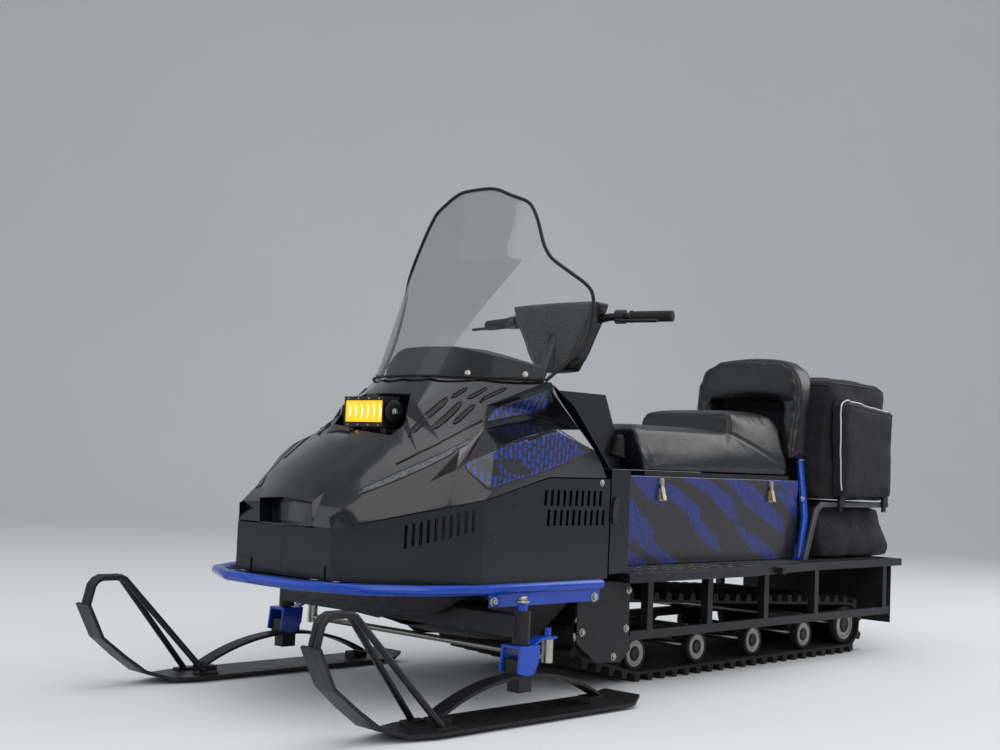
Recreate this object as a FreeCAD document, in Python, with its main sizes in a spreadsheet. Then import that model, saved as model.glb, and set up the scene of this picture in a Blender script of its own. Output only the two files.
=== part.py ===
import FreeCAD, Part
import math
import os
import re
import Sketcher

# Long-track utility snowmobile. Millimetres, +X forward, +Y to the rider's left, +Z up.
# The origin is on the ground, under the middle of the overall box.

SIZE_TABLE = (
    # name, value, what it measures
    ("sheet_wall", 3, "thickness of the bent steel panels"),
    ("seat_gap", 0.3, "clearance left where one piece rests in or on another"),
    ("move_gap", 6, "clearance between pieces that move past each other"),
    ("track_width", 500, "width of the rubber track"),
    ("track_belt", 8, "thickness of the track's belt"),
    ("track_lug", 20, "height of the track's lugs"),
    ("lug_pitch", 58, "wanted distance from lug to lug"),
    ("roller_radius", 48, "radius of the road wheels"),
    ("roller_width", 26, "width of one road wheel"),
    ("roller_first", 40, "X of the first axle"),
    ("roller_pitch", 294, "distance between road wheel axles"),
    ("roller_outer", 224, "Y of the outer road wheels' middle"),
    ("roller_inner", 132, "Y of the inner road wheels' middle"),
    ("axle_radius", 9, "radius of the road wheel axles"),
    ("sprocket_x", 250, "X of the drive axle"),
    ("sprocket_z", 155, "height of the drive axle"),
    ("sprocket_radius", 75, "radius of the drive sprockets"),
    ("idler_x", -1100, "X of the rear idler axle"),
    ("idler_radius", 66, "radius of the rear idlers"),
    ("slide_beam_y", 178, "Y of the suspension beams' middle"),
    ("slide_beam_wide", 22, "width of a suspension beam"),
    ("slide_beam_top", 132, "height of the suspension beams' top"),
    ("slide_beam_low", 104, "height of the suspension beams' underside"),
    ("deck_top", 318, "height of the running boards and the tunnel"),
    ("deck_front", 330, "X of the tunnel's front edge"),
    ("deck_rear", -1272, "X of the tunnel's rear edge"),
    ("tunnel_half", 268, "half width of the tunnel"),
    ("tunnel_skirt", 34, "depth of the tunnel's side flanges"),
    ("rail_size", 24, "side of the square tube of the side frames"),
    ("rail_y", 338, "outer face of the lower side rails"),
    ("rail_low", 134, "height of the lower side rails' underside"),
    ("rail_front", 196, "X of the lower side rails' front end"),
    ("board_half", 402, "outer edge of the running boards"),
    ("board_front", 286, "X of the running boards' front end"),
    ("board_kink", -270, "X where the running boards start to narrow"),
    ("board_taper", -740, "X where the running boards reach the rear width"),
    ("flap_x", -1290, "X of the rear flap"),
    ("flap_low", 96, "height of the rear flap's lower edge"),
    ("flap_half", 300, "half width of the rear flap"),
    ("box_half", 210, "half width of the storage box"),
    ("box_front", 236, "X of the storage box's front wall"),
    ("box_rear", -828, "X of the storage box's rear wall"),
    ("box_top", 572, "height of the storage box's rim"),
    ("box_wall", 4, "wall of the storage box"),
    ("seat_rear", -766, "X of the seat's rear end"),
    ("seat_front_low", -10, "X of the seat's front end at its foot"),
    ("seat_front_high", 26, "X of the seat's front end at its top"),
    ("seat_board", 12, "thickness of the seat's base board"),
    ("seat_low_top", 714, "height of the driver's part of the seat"),
    ("seat_high_top", 782, "height of the passenger's part of the seat"),
    ("seat_step_start", -466, "X where the passenger's part starts to rise"),
    ("seat_step_end", -476, "X where the passenger's part is full height"),
    ("hoop_half", 226, "half width of the backrest's tube hoop"),
    ("hoop_tube", 12, "radius of the backrest's tube"),
    ("hoop_foot_x", -792, "X of the hoop's feet"),
    ("hoop_top_x", -880, "X of the hoop's top"),
    ("hoop_top_z", 930, "height of the hoop's top tube"),
    ("pad_top", 984, "height of the backrest pad's top"),
    ("pad_thick", 104, "thickness of the backrest pad"),
    ("pad_half", 205, "half width of the backrest pad"),
    ("pad_arm", 58, "width of the backrest pad's arms"),
    ("pad_foot", 640, "height of the pad's arms at their lower ends"),
    ("bag_front", -908, "X of the rear bags' front"),
    ("bag_rear", -1352, "X of the rear bags' rear"),
    ("bag_half", 250, "half width of the upper bag"),
    ("bag_top", 924, "height of the upper bag's top"),
    ("rack_z", 496, "height of the rack's tubes"),
    ("rack_half", 250, "half width of the rack"),
    ("rack_tube", 10, "radius of the rack's tube"),
    ("rack_front", -882, "X of the rack's front bend"),
    ("rack_rear", -1340, "X of the rack's rear end"),
    ("cowl_low", 308, "height of the engine cowl's lower edge"),
    ("seam_top", 564, "height of the seam between the cowl and the hood at the rear"),
    ("seam_gap", 3, "gap along the seam between the cowl and the hood"),
    ("nose_x", 1104, "X of the cowl's front face"),
    ("nose_half", 181, "half width of the cowl's front face"),
    ("side_front", 817, "X where the cowl's side panel starts"),
    ("side_half", 384, "half width of the cowl's side panels"),
    ("cowl_rear", 357, "X of the cowl's rear edge"),
    ("flank_rear", 262, "X of the flank panels' rear face"),
    ("flank_top", 588, "height of the flank panels' top"),
    ("tower_half", 140, "half width of the instrument tower"),
    ("tower_top", 796, "height of the instrument tower's top"),
    ("tower_front", 505, "X of the instrument tower's front face"),
    ("tower_rear_top", 92, "X of the tower's rear edge at its top"),
    ("tower_rear_low", 4, "X of the tower's rear edge at its foot"),
    ("bumper_tube", 12.5, "radius of the bumper's tube"),
    ("bumper_z", 297, "height of the bumper's tube"),
    ("stance_half", 442, "half of the skis' stance"),
    ("spindle_x", 737, "X of the ski spindles"),
    ("spindle_radius", 12, "radius of the ski kingpins"),
    ("beam_low", 190, "height of the ski beam's underside"),
    ("beam_top", 240, "height of the ski beam's top"),
    ("housing_radius", 21, "outer radius of the spindle housings"),
    ("housing_low", 174, "height of the spindle housings' lower end"),
    ("housing_high", 250, "height of the spindle housings' upper end"),
    ("ski_width", 150, "width of the skis"),
    ("ski_deck_low", 8, "height of the ski deck's underside"),
    ("ski_deck_thick", 8, "thickness of the ski deck"),
    ("ski_tail", 352, "X of the skis' rear end"),
    ("ski_bend", 1130, "X where the skis turn up"),
    ("ski_tip_x", 1366, "X of the skis' upper tip"),
    ("ski_tip_z", 206, "height of the skis' upper tip"),
    ("ski_tip_width", 60, "width of the skis' upper tip"),
    ("loop_bar", 8, "radius of the bars of the ski loops"),
    ("loop_top_z", 270, "height of the ski loops' top bars' middle"),
    ("loop_foot_x", 1030, "X of the ski loops' rear feet"),
    ("spring_width", 46, "width of the leaf springs"),
    ("spring_thick", 8, "thickness of the leaf springs"),
    ("spring_half", 270, "half length of the leaf springs"),
    ("spring_crown", 106, "height of the leaf springs' middle"),
    ("spring_foot", 40, "height of the leaf springs' ends"),
    ("yoke_top", 172, "height of the spindle yokes' top plate"),
    ("yoke_plate", 6, "plate thickness of the spindle yokes"),
    ("yoke_half", 31, "half width of the spindle yokes"),
    ("column_tilt", 26.5, "degrees by which the steering column leans back"),
    ("column_radius", 13, "radius of the steering column"),
    ("column_top_x", 136, "X of the handlebar's middle"),
    ("column_top_z", 998, "height of the handlebar's middle"),
    ("column_length", 428, "length of the steering column"),
    ("bar_half", 351, "half width over the grips' ends"),
    ("bar_radius", 11, "radius of the handlebar's tube"),
    ("grip_radius", 16, "radius of the grips"),
    ("grip_length", 126, "length of the grips"),
    ("bar_sweep", 62, "how far the handlebar's ends sweep back"),
    ("bar_rise", 16, "how far the handlebar's ends rise"),
    ("screen_wall", 3, "thickness of the windscreen"),
    ("hood_wall", 4, "thickness of the plastic hood"),
    ("engine_long", 400, "length of the engine block"),
    ("engine_wide", 330, "width of the engine block"),
    ("engine_high", 300, "height of the engine block"),
    ("hinge_x", 1113, "X of the bonnet's hinge pins"),
    ("hinge_z", 300, "height of the bonnet's hinge pins"),
    ("hinge_pin", 4, "radius of the bonnet's hinge pins"),
    ("lid_pin_y", 217, "distance of the seat's hinge pins from the middle"),
    ("lid_pin_z", 578, "height of the seat's hinge pins"),
    ("tie_x", 644, "X of the tie rod"),
    ("tie_z", 138, "height of the tie rod"),
    ("tie_radius", 8, "radius of the tie rod"),
    ("hitch_rear", -1370, "X of the tow tongue's rear end"),
    ("hitch_bore", 16, "diameter of the tow pin's hole"),
)

SIDES = (("left", 1), ("right", -1))
ROLLER_STATIONS = (0, 1, 2, 3)
SIDE_VENTS = 10
FRONT_VENTS = 10

doc = FreeCAD.newDocument("Snowmobile")
sheet = doc.addObject("Spreadsheet::Sheet", "Size")
for row, (name, number, note) in enumerate(SIZE_TABLE, start=1):
    sheet.set("A%d" % row, note)
    sheet.set("B%d" % row, str(number))
    sheet.setAlias("B%d" % row, name)
doc.recompute()

NAMES = {name for name, number, note in SIZE_TABLE}
parts = []


# Small helpers for the sheet, sketches and shapes

def bound(text):
    """An expression with the sheet's name put before each size."""
    return re.sub(r"[a-z_]+", lambda m: "Size." + m.group() if m.group() in NAMES else m.group(), str(text))


def size(text):
    """The number that an expression of sizes stands for."""
    return float(sheet.evalExpression(bound(text).replace("Size.", "")))


def point(x, y, z):
    return FreeCAD.Vector(x, y, z)


def origin_plane(body, role):
    return [feature for feature in body.Origin.OriginFeatures if feature.Role == role][0]


def add_outline(sketch, outline):
    """A closed outline of straight lines, each corner tied to the sheet."""
    corners = [(size(a), size(b)) for a, b in outline]
    first = sketch.GeometryCount
    count = len(corners)
    for index, (a, b) in enumerate(corners):
        c, d = corners[(index + 1) % count]
        sketch.addGeometry(Part.LineSegment(point(a, b, 0), point(c, d, 0)), False)
    for index in range(count):
        sketch.addConstraint(Sketcher.Constraint("Coincident", first + index, 2, first + (index + 1) % count, 1))
    for index, (across, up) in enumerate(outline):
        for kind, text, number in (("DistanceX", across, corners[index][0]), ("DistanceY", up, corners[index][1])):
            place = sketch.addConstraint(Sketcher.Constraint(kind, -1, 1, first + index, 1, number))
            sketch.setExpression("Constraints[%d]" % place, bound(text))


def add_circle(sketch, across, up, radius):
    """A circle whose middle and radius are tied to the sheet."""
    middle = point(size(across), size(up), 0)
    index = sketch.addGeometry(Part.Circle(middle, point(0, 0, 1), size(radius)), False)
    for kind, text, number in (("DistanceX", across, middle.x), ("DistanceY", up, middle.y)):
        place = sketch.addConstraint(Sketcher.Constraint(kind, -1, 1, index, 3, number))
        sketch.setExpression("Constraints[%d]" % place, bound(text))
    place = sketch.addConstraint(Sketcher.Constraint("Radius", index, size(radius)))
    sketch.setExpression("Constraints[%d]" % place, bound(radius))


def new_sketch(body, role, level, shapes):
    """A sketch on one of the body's planes, at a level along that plane's +X, +Y or +Z."""
    sketch = body.newObject("Sketcher::SketchObject", body.Name + "Sketch")
    sketch.AttachmentSupport = (origin_plane(body, role), [""])
    sketch.MapMode = "FlatFace"
    sign = "-" if role == "XZ_Plane" else ""
    sketch.setExpression("AttachmentOffset.Base.z", "%s(%s)" % (sign, bound(level)))
    for shape in shapes:
        if len(shape) == 3 and not isinstance(shape[0], tuple):
            add_circle(sketch, *shape)
        else:
            add_outline(sketch, shape)
    doc.recompute()
    return sketch


def pad(body, role, low, high, shapes):
    """Material between two levels: low and high along the plane's own axis."""
    start = high if role == "XZ_Plane" else low
    feature = body.newObject("PartDesign::Pad", body.Name + "Pad")
    feature.Profile = new_sketch(body, role, start, shapes)
    feature.setExpression("Length", "(%s) - (%s)" % (bound(high), bound(low)))
    doc.recompute()
    return feature


def pocket(body, role, low, high, shapes):
    """A cut between two levels, checked by the volume that it takes away."""
    before = body.Shape.Volume
    start = high if role == "XZ_Plane" else low
    feature = body.newObject("PartDesign::Pocket", body.Name + "Pocket")
    feature.Profile = new_sketch(body, role, start, shapes)
    feature.Reversed = True
    feature.setExpression("Length", "(%s) - (%s)" % (bound(high), bound(low)))
    doc.recompute()
    if not body.Shape.Volume < before - 1:
        raise RuntimeError("a cut in %s takes nothing away" % body.Label)
    return feature


def new_body(label, kept=True):
    body = doc.addObject("PartDesign::Body", label.title().replace("_", ""))
    body.Label = label
    if kept:
        parts.append(body)
    return body


def new_feature(label, shape, kept=True):
    """A sub-part whose shape comes from the functions below."""
    feature = doc.addObject("Part::Feature", label.title().replace("_", ""))
    feature.Label = label
    place = shape.Placement
    feature.Shape = shape
    feature.Placement = place
    if kept:
        parts.append(feature)
    return feature


def joined(label, members):
    """One sub-part from several pieces of one kind that stay apart or lie side by side."""
    group = doc.addObject("Part::Compound", label.title().replace("_", ""))
    group.Label = label
    group.Links = members
    doc.recompute()
    parts.append(group)
    return group


def box_part(label, low, high, kept=True):
    """A block from its low corner to its high corner."""
    block = doc.addObject("Part::Box", label.title().replace("_", ""))
    block.Label = label
    for axis, side, start, end in zip("xyz", ("Length", "Width", "Height"), low, high):
        block.setExpression("Placement.Base." + axis, bound(start))
        block.setExpression(side, "(%s) - (%s)" % (bound(end), bound(start)))
    doc.recompute()
    if kept:
        parts.append(block)
    return block


def block(low, high):
    return Part.makeBox(high[0] - low[0], high[1] - low[1], high[2] - low[2], point(*low))


def rod(start, end, radius):
    start, end = point(*start), point(*end)
    return Part.makeCylinder(radius, (end - start).Length, start, end - start)


def bar(start, end, radius, sides=16):
    """A straight bar with a regular many-sided section, for round parts that nothing turns in."""
    start, end = point(*start), point(*end)
    along = (end - start).normalize()
    across = along.cross(point(0, 0, 1) if abs(along.z) < 0.9 else point(1, 0, 0)).normalize()
    up = along.cross(across)
    ring = []
    for index in range(sides):
        angle = 2 * math.pi * (index + 0.5) / sides
        ring.append(start + across * (radius * math.cos(angle)) + up * (radius * math.sin(angle)))
    return Part.Face(Part.makePolygon(ring + ring[:1])).extrude(end - start)


def fuse(shapes):
    whole = shapes[0].multiFuse(shapes[1:]) if len(shapes) > 1 else shapes[0]
    return whole.removeSplitter()


def mirror_side(shape, side):
    return shape if side > 0 else shape.mirror(point(0, 0, 0), point(0, 1, 0))


def mitred_path(points, bend):
    """The corners of a path, each bend turned in equal short steps round its arc."""
    points = [point(*p) for p in points]
    path = [points[0]]
    for before, corner, after in zip(points, points[1:], points[2:]):
        arrive = (corner - before).normalize()
        leave = (after - corner).normalize()
        turn = arrive.getAngle(leave)
        steps = max(1, round(math.degrees(turn) / 30))
        if steps == 1:
            path.append(corner)
            continue
        start = corner - arrive * (bend * math.tan(turn / 2))
        inward = (leave - arrive * arrive.dot(leave)).normalize()
        middle = start + inward * bend
        reach = bend / math.cos(turn / (2 * steps))
        for step in range(steps):
            angle = turn * (step + 0.5) / steps
            path.append(middle + (arrive * math.sin(angle) - inward * math.cos(angle)) * reach)
    path.append(points[-1])
    return path


def tube(points, bend, radius):
    """A bar with a twelve-sided section along a path whose bends are mitred in short steps."""
    path = mitred_path(points, bend)
    along = (path[1] - path[0]).normalize()
    across = along.cross(point(0, 0, 1) if abs(along.z) < 0.9 else point(1, 0, 0)).normalize()
    up = along.cross(across)
    corners = []
    for index in range(12):
        angle = math.radians(30 * index + 15)
        corners.append(path[0] + across * (radius * math.cos(angle)) + up * (radius * math.sin(angle)))
    ring = Part.makePolygon(corners + corners[:1])
    return Part.makePolygon(path).makePipeShell([ring], True, False, 1)


def strip(outline, direction):
    """A solid from a closed outline of points, pushed along a direction."""
    corners = [point(*p) for p in outline]
    face = Part.Face(Part.makePolygon(corners + corners[:1]))
    return face.extrude(point(*direction))


def sheet_from(corners, faces, wall):
    """A shell of even thickness inside a skin of flat facets.

    Each inner corner lies where the moved facets around it meet, or as near to that as they allow.
    """
    facets = []
    for names in faces:
        loop = [corners[name] for name in names]
        for index in range(1, len(loop) - 1):
            trio = (names[0], names[index], names[index + 1])
            a, b, c = (corners[name] for name in trio)
            if (b - a).cross(c - a).Length > 1e-3:
                facets.append(trio)
    normals = {}
    for trio in facets:
        a, b, c = (corners[name] for name in trio)
        normal = (b - a).cross(c - a).normalize()
        for name in trio:
            around = normals.setdefault(name, [])
            if all(normal.dot(other) < 0.9995 for other in around):
                around.append(normal)
    inner = {}
    for name, around in normals.items():
        moved = point(0, 0, 0)
        for _ in range(60):
            for normal in around:
                moved = moved + normal * (wall - moved.dot(normal)) * 0.5
        inner[name] = corners[name] - moved
    edges = {}
    for trio in facets:
        for index in range(3):
            edge = (trio[index], trio[(index + 1) % 3])
            edges[edge] = edges.get(edge, 0) + 1
    shell = []
    for trio in facets:
        shell.append([corners[name] for name in trio])
        shell.append([inner[name] for name in reversed(trio)])
    for first, last in edges:
        if (last, first) not in edges:
            shell.append([corners[last], corners[first], inner[first]])
            shell.append([corners[last], inner[first], inner[last]])
    faces = [Part.Face(Part.makePolygon(loop + loop[:1])) for loop in shell]
    solid = Part.Solid(Part.makeShell(faces))
    if solid.Volume < 0:
        solid.reverse()
    return solid


# Track: one closed loop with its lugs in its outline

def loop_points(extra):
    """Corner circles of the track's loop, grown by extra, from the front round to the rear."""
    wheel_z = size("track_lug + track_belt")
    return (
        (size("sprocket_x"), size("sprocket_z"), size("sprocket_radius") + extra),
        (size("roller_first"), wheel_z + size("roller_radius"), size("roller_radius") + extra),
        (size("idler_x"), wheel_z + size("idler_radius"), size("idler_radius") + extra),
    )


def belt_line(extra):
    """The loop as arcs round the circles, joined by their outer tangents."""
    circles = loop_points(extra)
    tangents = []
    for (ax, az, ar), (bx, bz, br) in zip(circles, circles[1:] + circles[:1]):
        gap = math.hypot(bx - ax, bz - az)
        along = math.atan2(bz - az, bx - ax)
        side = along + math.acos((ar - br) / gap)
        tangents.append(((ax + ar * math.cos(side), az + ar * math.sin(side)),
                         (bx + br * math.cos(side), bz + br * math.sin(side)), side))
    return circles, tangents


def loop_positions(extra):
    """A function from distance along the loop to place and outward direction, and its length."""
    circles, tangents = belt_line(extra)
    pieces = []
    for index, (start, end, side) in enumerate(tangents):
        pieces.append(("line", start, end, side, math.dist(start, end)))
        cx, cz, radius = circles[(index + 1) % 3]
        turn = (tangents[(index + 1) % 3][2] - side)
        while turn > 0:
            turn -= 2 * math.pi
        while turn <= -2 * math.pi:
            turn += 2 * math.pi
        pieces.append(("arc", (cx, cz, radius), side, turn, radius * abs(turn)))
    total = sum(piece[4] for piece in pieces)

    def at(distance):
        distance %= total
        for piece in pieces:
            if distance <= piece[4]:
                share = distance / piece[4]
                if piece[0] == "line":
                    x = piece[1][0] + (piece[2][0] - piece[1][0]) * share
                    z = piece[1][1] + (piece[2][1] - piece[1][1]) * share
                    return x, z, math.cos(piece[3]), math.sin(piece[3])
                cx, cz, radius = piece[1]
                angle = piece[2] + piece[3] * share
                return cx + radius * math.cos(angle), cz + radius * math.sin(angle), math.cos(angle), math.sin(angle)
            distance -= piece[4]
        return at(0)

    return at, total


def loop_face(outer, low):
    """The flat ring between an outer outline and the belt's inner line, at Y = low."""
    circles, tangents = belt_line(0)
    edges = []
    for index, (start, end, side) in enumerate(tangents):
        a, b = point(start[0], low, start[1]), point(end[0], low, end[1])
        edges.append(Part.LineSegment(a, b).toShape())
        cx, cz, radius = circles[(index + 1) % 3]
        after = tangents[(index + 1) % 3]
        turn = after[2] - side
        while turn > 0:
            turn -= 2 * math.pi
        middle = side + turn / 2
        top = point(cx + radius * math.cos(middle), low, cz + radius * math.sin(middle))
        edges.append(Part.Arc(b, top, point(after[0][0], low, after[0][1])).toShape())
    inner = Part.Wire(edges)
    corners = [point(x, low, z) for x, z in outer]
    ring = Part.Face(Part.makePolygon(corners + corners[:1]))
    return ring.cut(Part.Face(inner))


def track_outline(shift, tall):
    """The belt's outer outline with a lug at each step, shift moving the lugs along."""
    at, total = loop_positions(size("track_belt"))
    count = round(total / size("lug_pitch"))
    step = total / count
    foot, tip = step * 0.24, step * 0.14
    corners = []
    for index in range(count):
        middle = (index + shift) * step
        for reach, height in ((-foot, 0), (-tip, tall), (tip, tall), (foot, 0)):
            x, z, nx, nz = at(middle + reach)
            corners.append((x + nx * height, z + nz * height))
    return corners


def build_track():
    half = size("track_width") / 2
    edge, rib, centre = half, half * 0.52, half * 0.4
    bands = ((-edge, -rib, 0, 1), (-rib, -centre, 0, 0), (-centre, centre, 0.5, 1), (centre, rib, 0, 0),
             (rib, edge, 0, 1))
    pieces = []
    for low, high, shift, lugged in bands:
        tall = size("track_lug") if lugged else 0.01
        face = loop_face(track_outline(shift, tall), low)
        pieces.append(face.extrude(point(0, high - low, 0)))
    whole = pieces[0].multiFuse(pieces[1:])
    new_feature("track", whole.Solids[0] if len(whole.Solids) == 1 else whole)


# Road wheels and idlers, each pair turned in one piece with its axle, and the drive sprockets

def axle_with_wheels(radius, middle, dish):
    """An axle with a wheel near each end. The outer faces are dished by the given depth, round a hub."""
    shaft, half = size("axle_radius"), size("roller_width") / 2
    end = middle + half + 6
    pieces = [bar((0, -end, 0), (0, end, 0), shaft)]
    for s in (1, -1):
        face = s * (middle + half)
        wheel = bar((0, s * (middle - half), 0), (0, face, 0), radius, 28)
        wheel = wheel.cut(bar((0, face - s * dish, 0), (0, face + s, 0), radius - 13, 28))
        pieces += [wheel, bar((0, face - s * (dish + 1), 0), (0, face + s, 0), shaft + 10)]
    return fuse(pieces)


def build_wheels():
    ground = size("track_lug + track_belt")
    gap = size("seat_gap")
    solids = []
    for station in ROLLER_STATIONS:
        pair = axle_with_wheels(size("roller_radius") - gap, size("roller_outer"), 8)
        x = size("roller_first") - size("roller_pitch") * station
        pair.translate(point(x, 0, ground + size("roller_radius")))
        solids.append(pair)
    idlers = axle_with_wheels(size("idler_radius") - gap, size("roller_outer"), 9)
    idlers.translate(point(size("idler_x"), 0, ground + size("idler_radius")))
    new_feature("track_wheels", Part.makeCompound(solids + [idlers]))


def build_sprockets():
    """The drive axle with its two toothed drivers."""
    outer = size("sprocket_radius") - size("seat_gap")
    teeth = 9
    corners = []
    for tooth in range(teeth):
        for share, reach in ((0, outer - 14), (0.28, outer), (0.72, outer), (0.999, outer - 14)):
            angle = 2 * math.pi * (tooth + share) / teeth
            corners.append(point(reach * math.cos(angle), 0, reach * math.sin(angle)))
    face = Part.Face(Part.makePolygon(corners + corners[:1]))
    disc = face.extrude(point(0, 24, 0))
    pair = []
    for side in (1, -1):
        copy = disc.copy()
        copy.translate(point(size("sprocket_x"), side * size("roller_inner") - 12, size("sprocket_z")))
        pair.append(copy)
    reach = size("rail_y") - size("seat_gap")
    axle = bar((size("sprocket_x"), -reach, size("sprocket_z")), (size("sprocket_x"), reach, size("sprocket_z")),
               size("axle_radius") + 6)
    new_feature("drive_axle", fuse([axle] + pair))


def build_axles():
    """Two cross tubes that hang the suspension between the lower side rails."""
    cross = 14
    z = size("slide_beam_top") + cross
    reach = size("rail_y - rail_size")
    places = (size("roller_first") - 130, size("roller_first - 2.5 * roller_pitch"))
    new_feature("suspension_axles", Part.makeCompound([bar((x, -reach, z), (x, reach, z), cross) for x in places]))


def build_slide_beams():
    """Two long beams with a saddle down onto each axle."""
    beams = []
    for label, side in SIDES:
        body = new_body("slide_beam_" + label, kept=False)
        beams.append(body)
        inner = "slide_beam_y - slide_beam_wide / 2" if side > 0 else "-(slide_beam_y + slide_beam_wide / 2)"
        outer = "slide_beam_y + slide_beam_wide / 2" if side > 0 else "-(slide_beam_y - slide_beam_wide / 2)"
        seat = "track_lug + track_belt + axle_radius + seat_gap"
        outline = [("roller_first + 70", "slide_beam_top"), ("roller_first + 70", "slide_beam_low + 8")]
        for station in ROLLER_STATIONS:
            x = "roller_first - %d * roller_pitch" % station
            outline += [(x + " + 52", "slide_beam_low"), (x + " + 16", seat + " + roller_radius"),
                        (x + " - 16", seat + " + roller_radius"), (x + " - 46", "slide_beam_low")]
        outline += [("idler_x + 70", "slide_beam_low"), ("idler_x + 18", seat + " + idler_radius"),
                    ("idler_x - 24", seat + " + idler_radius"), ("idler_x - 24", seat + " + idler_radius + 14"),
                    ("idler_x + 40", "slide_beam_top")]
        pad(body, "XZ_Plane", inner, outer, [outline])
    joined("slide_beams", beams)


# Tunnel, side frames and running boards

def build_tunnel():
    """Deck over the track with side flanges, and the open tread plates beside it."""
    body = new_body("tunnel_deck", kept=False)
    outline = [("-tunnel_half", "deck_top - tunnel_skirt"), ("-tunnel_half", "deck_top"), ("tunnel_half", "deck_top"),
               ("tunnel_half", "deck_top - tunnel_skirt"), ("tunnel_half - sheet_wall", "deck_top - tunnel_skirt"),
               ("tunnel_half - sheet_wall", "deck_top - sheet_wall"),
               ("-tunnel_half + sheet_wall", "deck_top - sheet_wall"),
               ("-tunnel_half + sheet_wall", "deck_top - tunnel_skirt")]
    pad(body, "YZ_Plane", "deck_rear", "deck_front", [outline])
    joined("tunnel", [body] + tread_plates())


def build_side_frames():
    """Outer board tube, posts and lower rail, welded into one frame on each side."""
    posts = ("110", "-169", "-459", "-745", "deck_rear + 92")
    frames = []
    for label, side in SIDES:
        s = "" if side > 0 else "-1 * "
        body = new_body("side_frame_" + label, kept=False)
        frames.append(body)
        outer = [("board_front", "board_half"), ("board_kink", "board_half"), ("board_taper", "rail_y"),
                 ("deck_rear", "rail_y")]
        inner = [("deck_rear", "rail_y - rail_size"), ("board_taper", "rail_y - rail_size"),
                 ("board_kink", "board_half - rail_size"), ("board_front", "board_half - rail_size")]
        outline = [(x, s + "(" + y + ")") for x, y in outer + inner]
        pad(body, "XY_Plane", "deck_top - rail_size", "deck_top", [outline])
        low = "rail_y - rail_size" if side > 0 else "-rail_y"
        high = "rail_y" if side > 0 else "-rail_y + rail_size"
        pad(body, "XZ_Plane", low, high,
            [[(x + " - rail_size / 2", "rail_low"), (x + " + rail_size / 2", "rail_low"),
              (x + " + rail_size / 2", "deck_top - 4"), (x + " - rail_size / 2", "deck_top - 4")] for x in posts])
        pad(body, "XZ_Plane", low, high,
            [[("deck_rear + 60", "rail_low"), ("rail_front", "rail_low"), ("rail_front", "rail_low + rail_size"),
              ("deck_rear + 60", "rail_low + rail_size")]])
        ribs = ("board_front - 12", "110", "-169", "-459")
        pad(body, "XY_Plane", "deck_top - rail_size", "deck_top - 4",
            [[(x + " - 10", s + "(tunnel_half)"), (x + " + 10", s + "(tunnel_half)"),
              (x + " + 10", s + "(board_half - 4)"), (x + " - 10", s + "(board_half - 4)")] for x in ribs])
        rear_ribs = ("-745", "deck_rear + 12")
        pad(body, "XY_Plane", "deck_top - rail_size", "deck_top - 4",
            [[(x + " - 10", s + "(tunnel_half)"), (x + " + 10", s + "(tunnel_half)"),
              (x + " + 10", s + "(rail_y - 4)"), (x + " - 10", s + "(rail_y - 4)")] for x in rear_ribs])
    joined("side_frames", frames + axle_plates())


def tread_plates():
    """Open tread plate between the tunnel and the outer board tube."""
    plates = []
    for label, side in SIDES:
        s = "" if side > 0 else "-1 * "
        body = new_body("tread_plate_" + label, kept=False)
        plates.append(body)
        outline = [("board_front - 30", s + "(tunnel_half + seat_gap)"),
                   ("board_front - 30", s + "(board_half - rail_size - seat_gap)"),
                   ("board_kink", s + "(board_half - rail_size - seat_gap)"),
                   ("board_taper + 40", s + "(rail_y - rail_size + 4)"),
                   ("board_taper + 40", s + "(tunnel_half + seat_gap)")]
        pad(body, "XY_Plane", "deck_top - 4 + seat_gap", "deck_top", [outline])
        slots = []
        step = 62
        count = int((size("board_front - 60 - board_kink")) // step)
        for index in range(count):
            for row, (near, far) in enumerate(((8, 40), (48, 80))):
                x = "board_front - %d" % (60 + step * index + 24 * row)
                slots.append([(x, s + "(tunnel_half + %d)" % near), (x + " - 20", s + "(tunnel_half + %d)" % near),
                              (x + " - 30", s + "(tunnel_half + %d)" % far), (x + " - 10", s + "(tunnel_half + %d)" % far)])
        pocket(body, "XY_Plane", "deck_top - 6", "deck_top + 1", slots)
    return plates


def axle_plates():
    """Deep plates that carry the drive axle, between belly and side frame."""
    plates = []
    for label, side in SIDES:
        body = new_body("axle_plate_" + label, kept=False)
        plates.append(body)
        low = "rail_y + seat_gap" if side > 0 else "-rail_y - seat_gap - sheet_wall"
        high = "rail_y + seat_gap + sheet_wall" if side > 0 else "-rail_y - seat_gap"
        outline = [("421", "deck_top - rail_size"), ("416", "140"), ("340", "88"), ("238", "80"), ("196", "112"),
                   ("206", "160"), ("206", "deck_top - rail_size")]
        pad(body, "XZ_Plane", low, high, [outline])
    return plates


def build_flap():
    box_part("rear_flap", ("flap_x - 5", "-flap_half", "flap_low"), ("flap_x", "flap_half", "deck_top - rail_size - seat_gap"))


def build_tow_bar():
    """Cross bar that closes the frame at the rear, with the tow tongue welded on."""
    bar = new_body("tow_bar")
    rear = "deck_rear - rail_size"
    pad(bar, "XY_Plane", "deck_top - rail_size", "deck_top",
        [[(rear, "-rail_y"), ("deck_rear", "-rail_y"), ("deck_rear", "rail_y"), (rear, "rail_y")]])
    outline = [(rear + " + 1", "-45"), (rear + " + 1", "45"), ("hitch_rear + 20", "24"), ("hitch_rear", "12"),
               ("hitch_rear", "-12"), ("hitch_rear + 20", "-24")]
    pad(bar, "XY_Plane", "deck_top - rail_size + 2", "deck_top - rail_size + 12", [outline])
    pocket(bar, "XY_Plane", "deck_top - rail_size", "deck_top", [("hitch_rear + 26", "0", "hitch_bore / 2")])


# Storage box, seat and backrest

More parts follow.
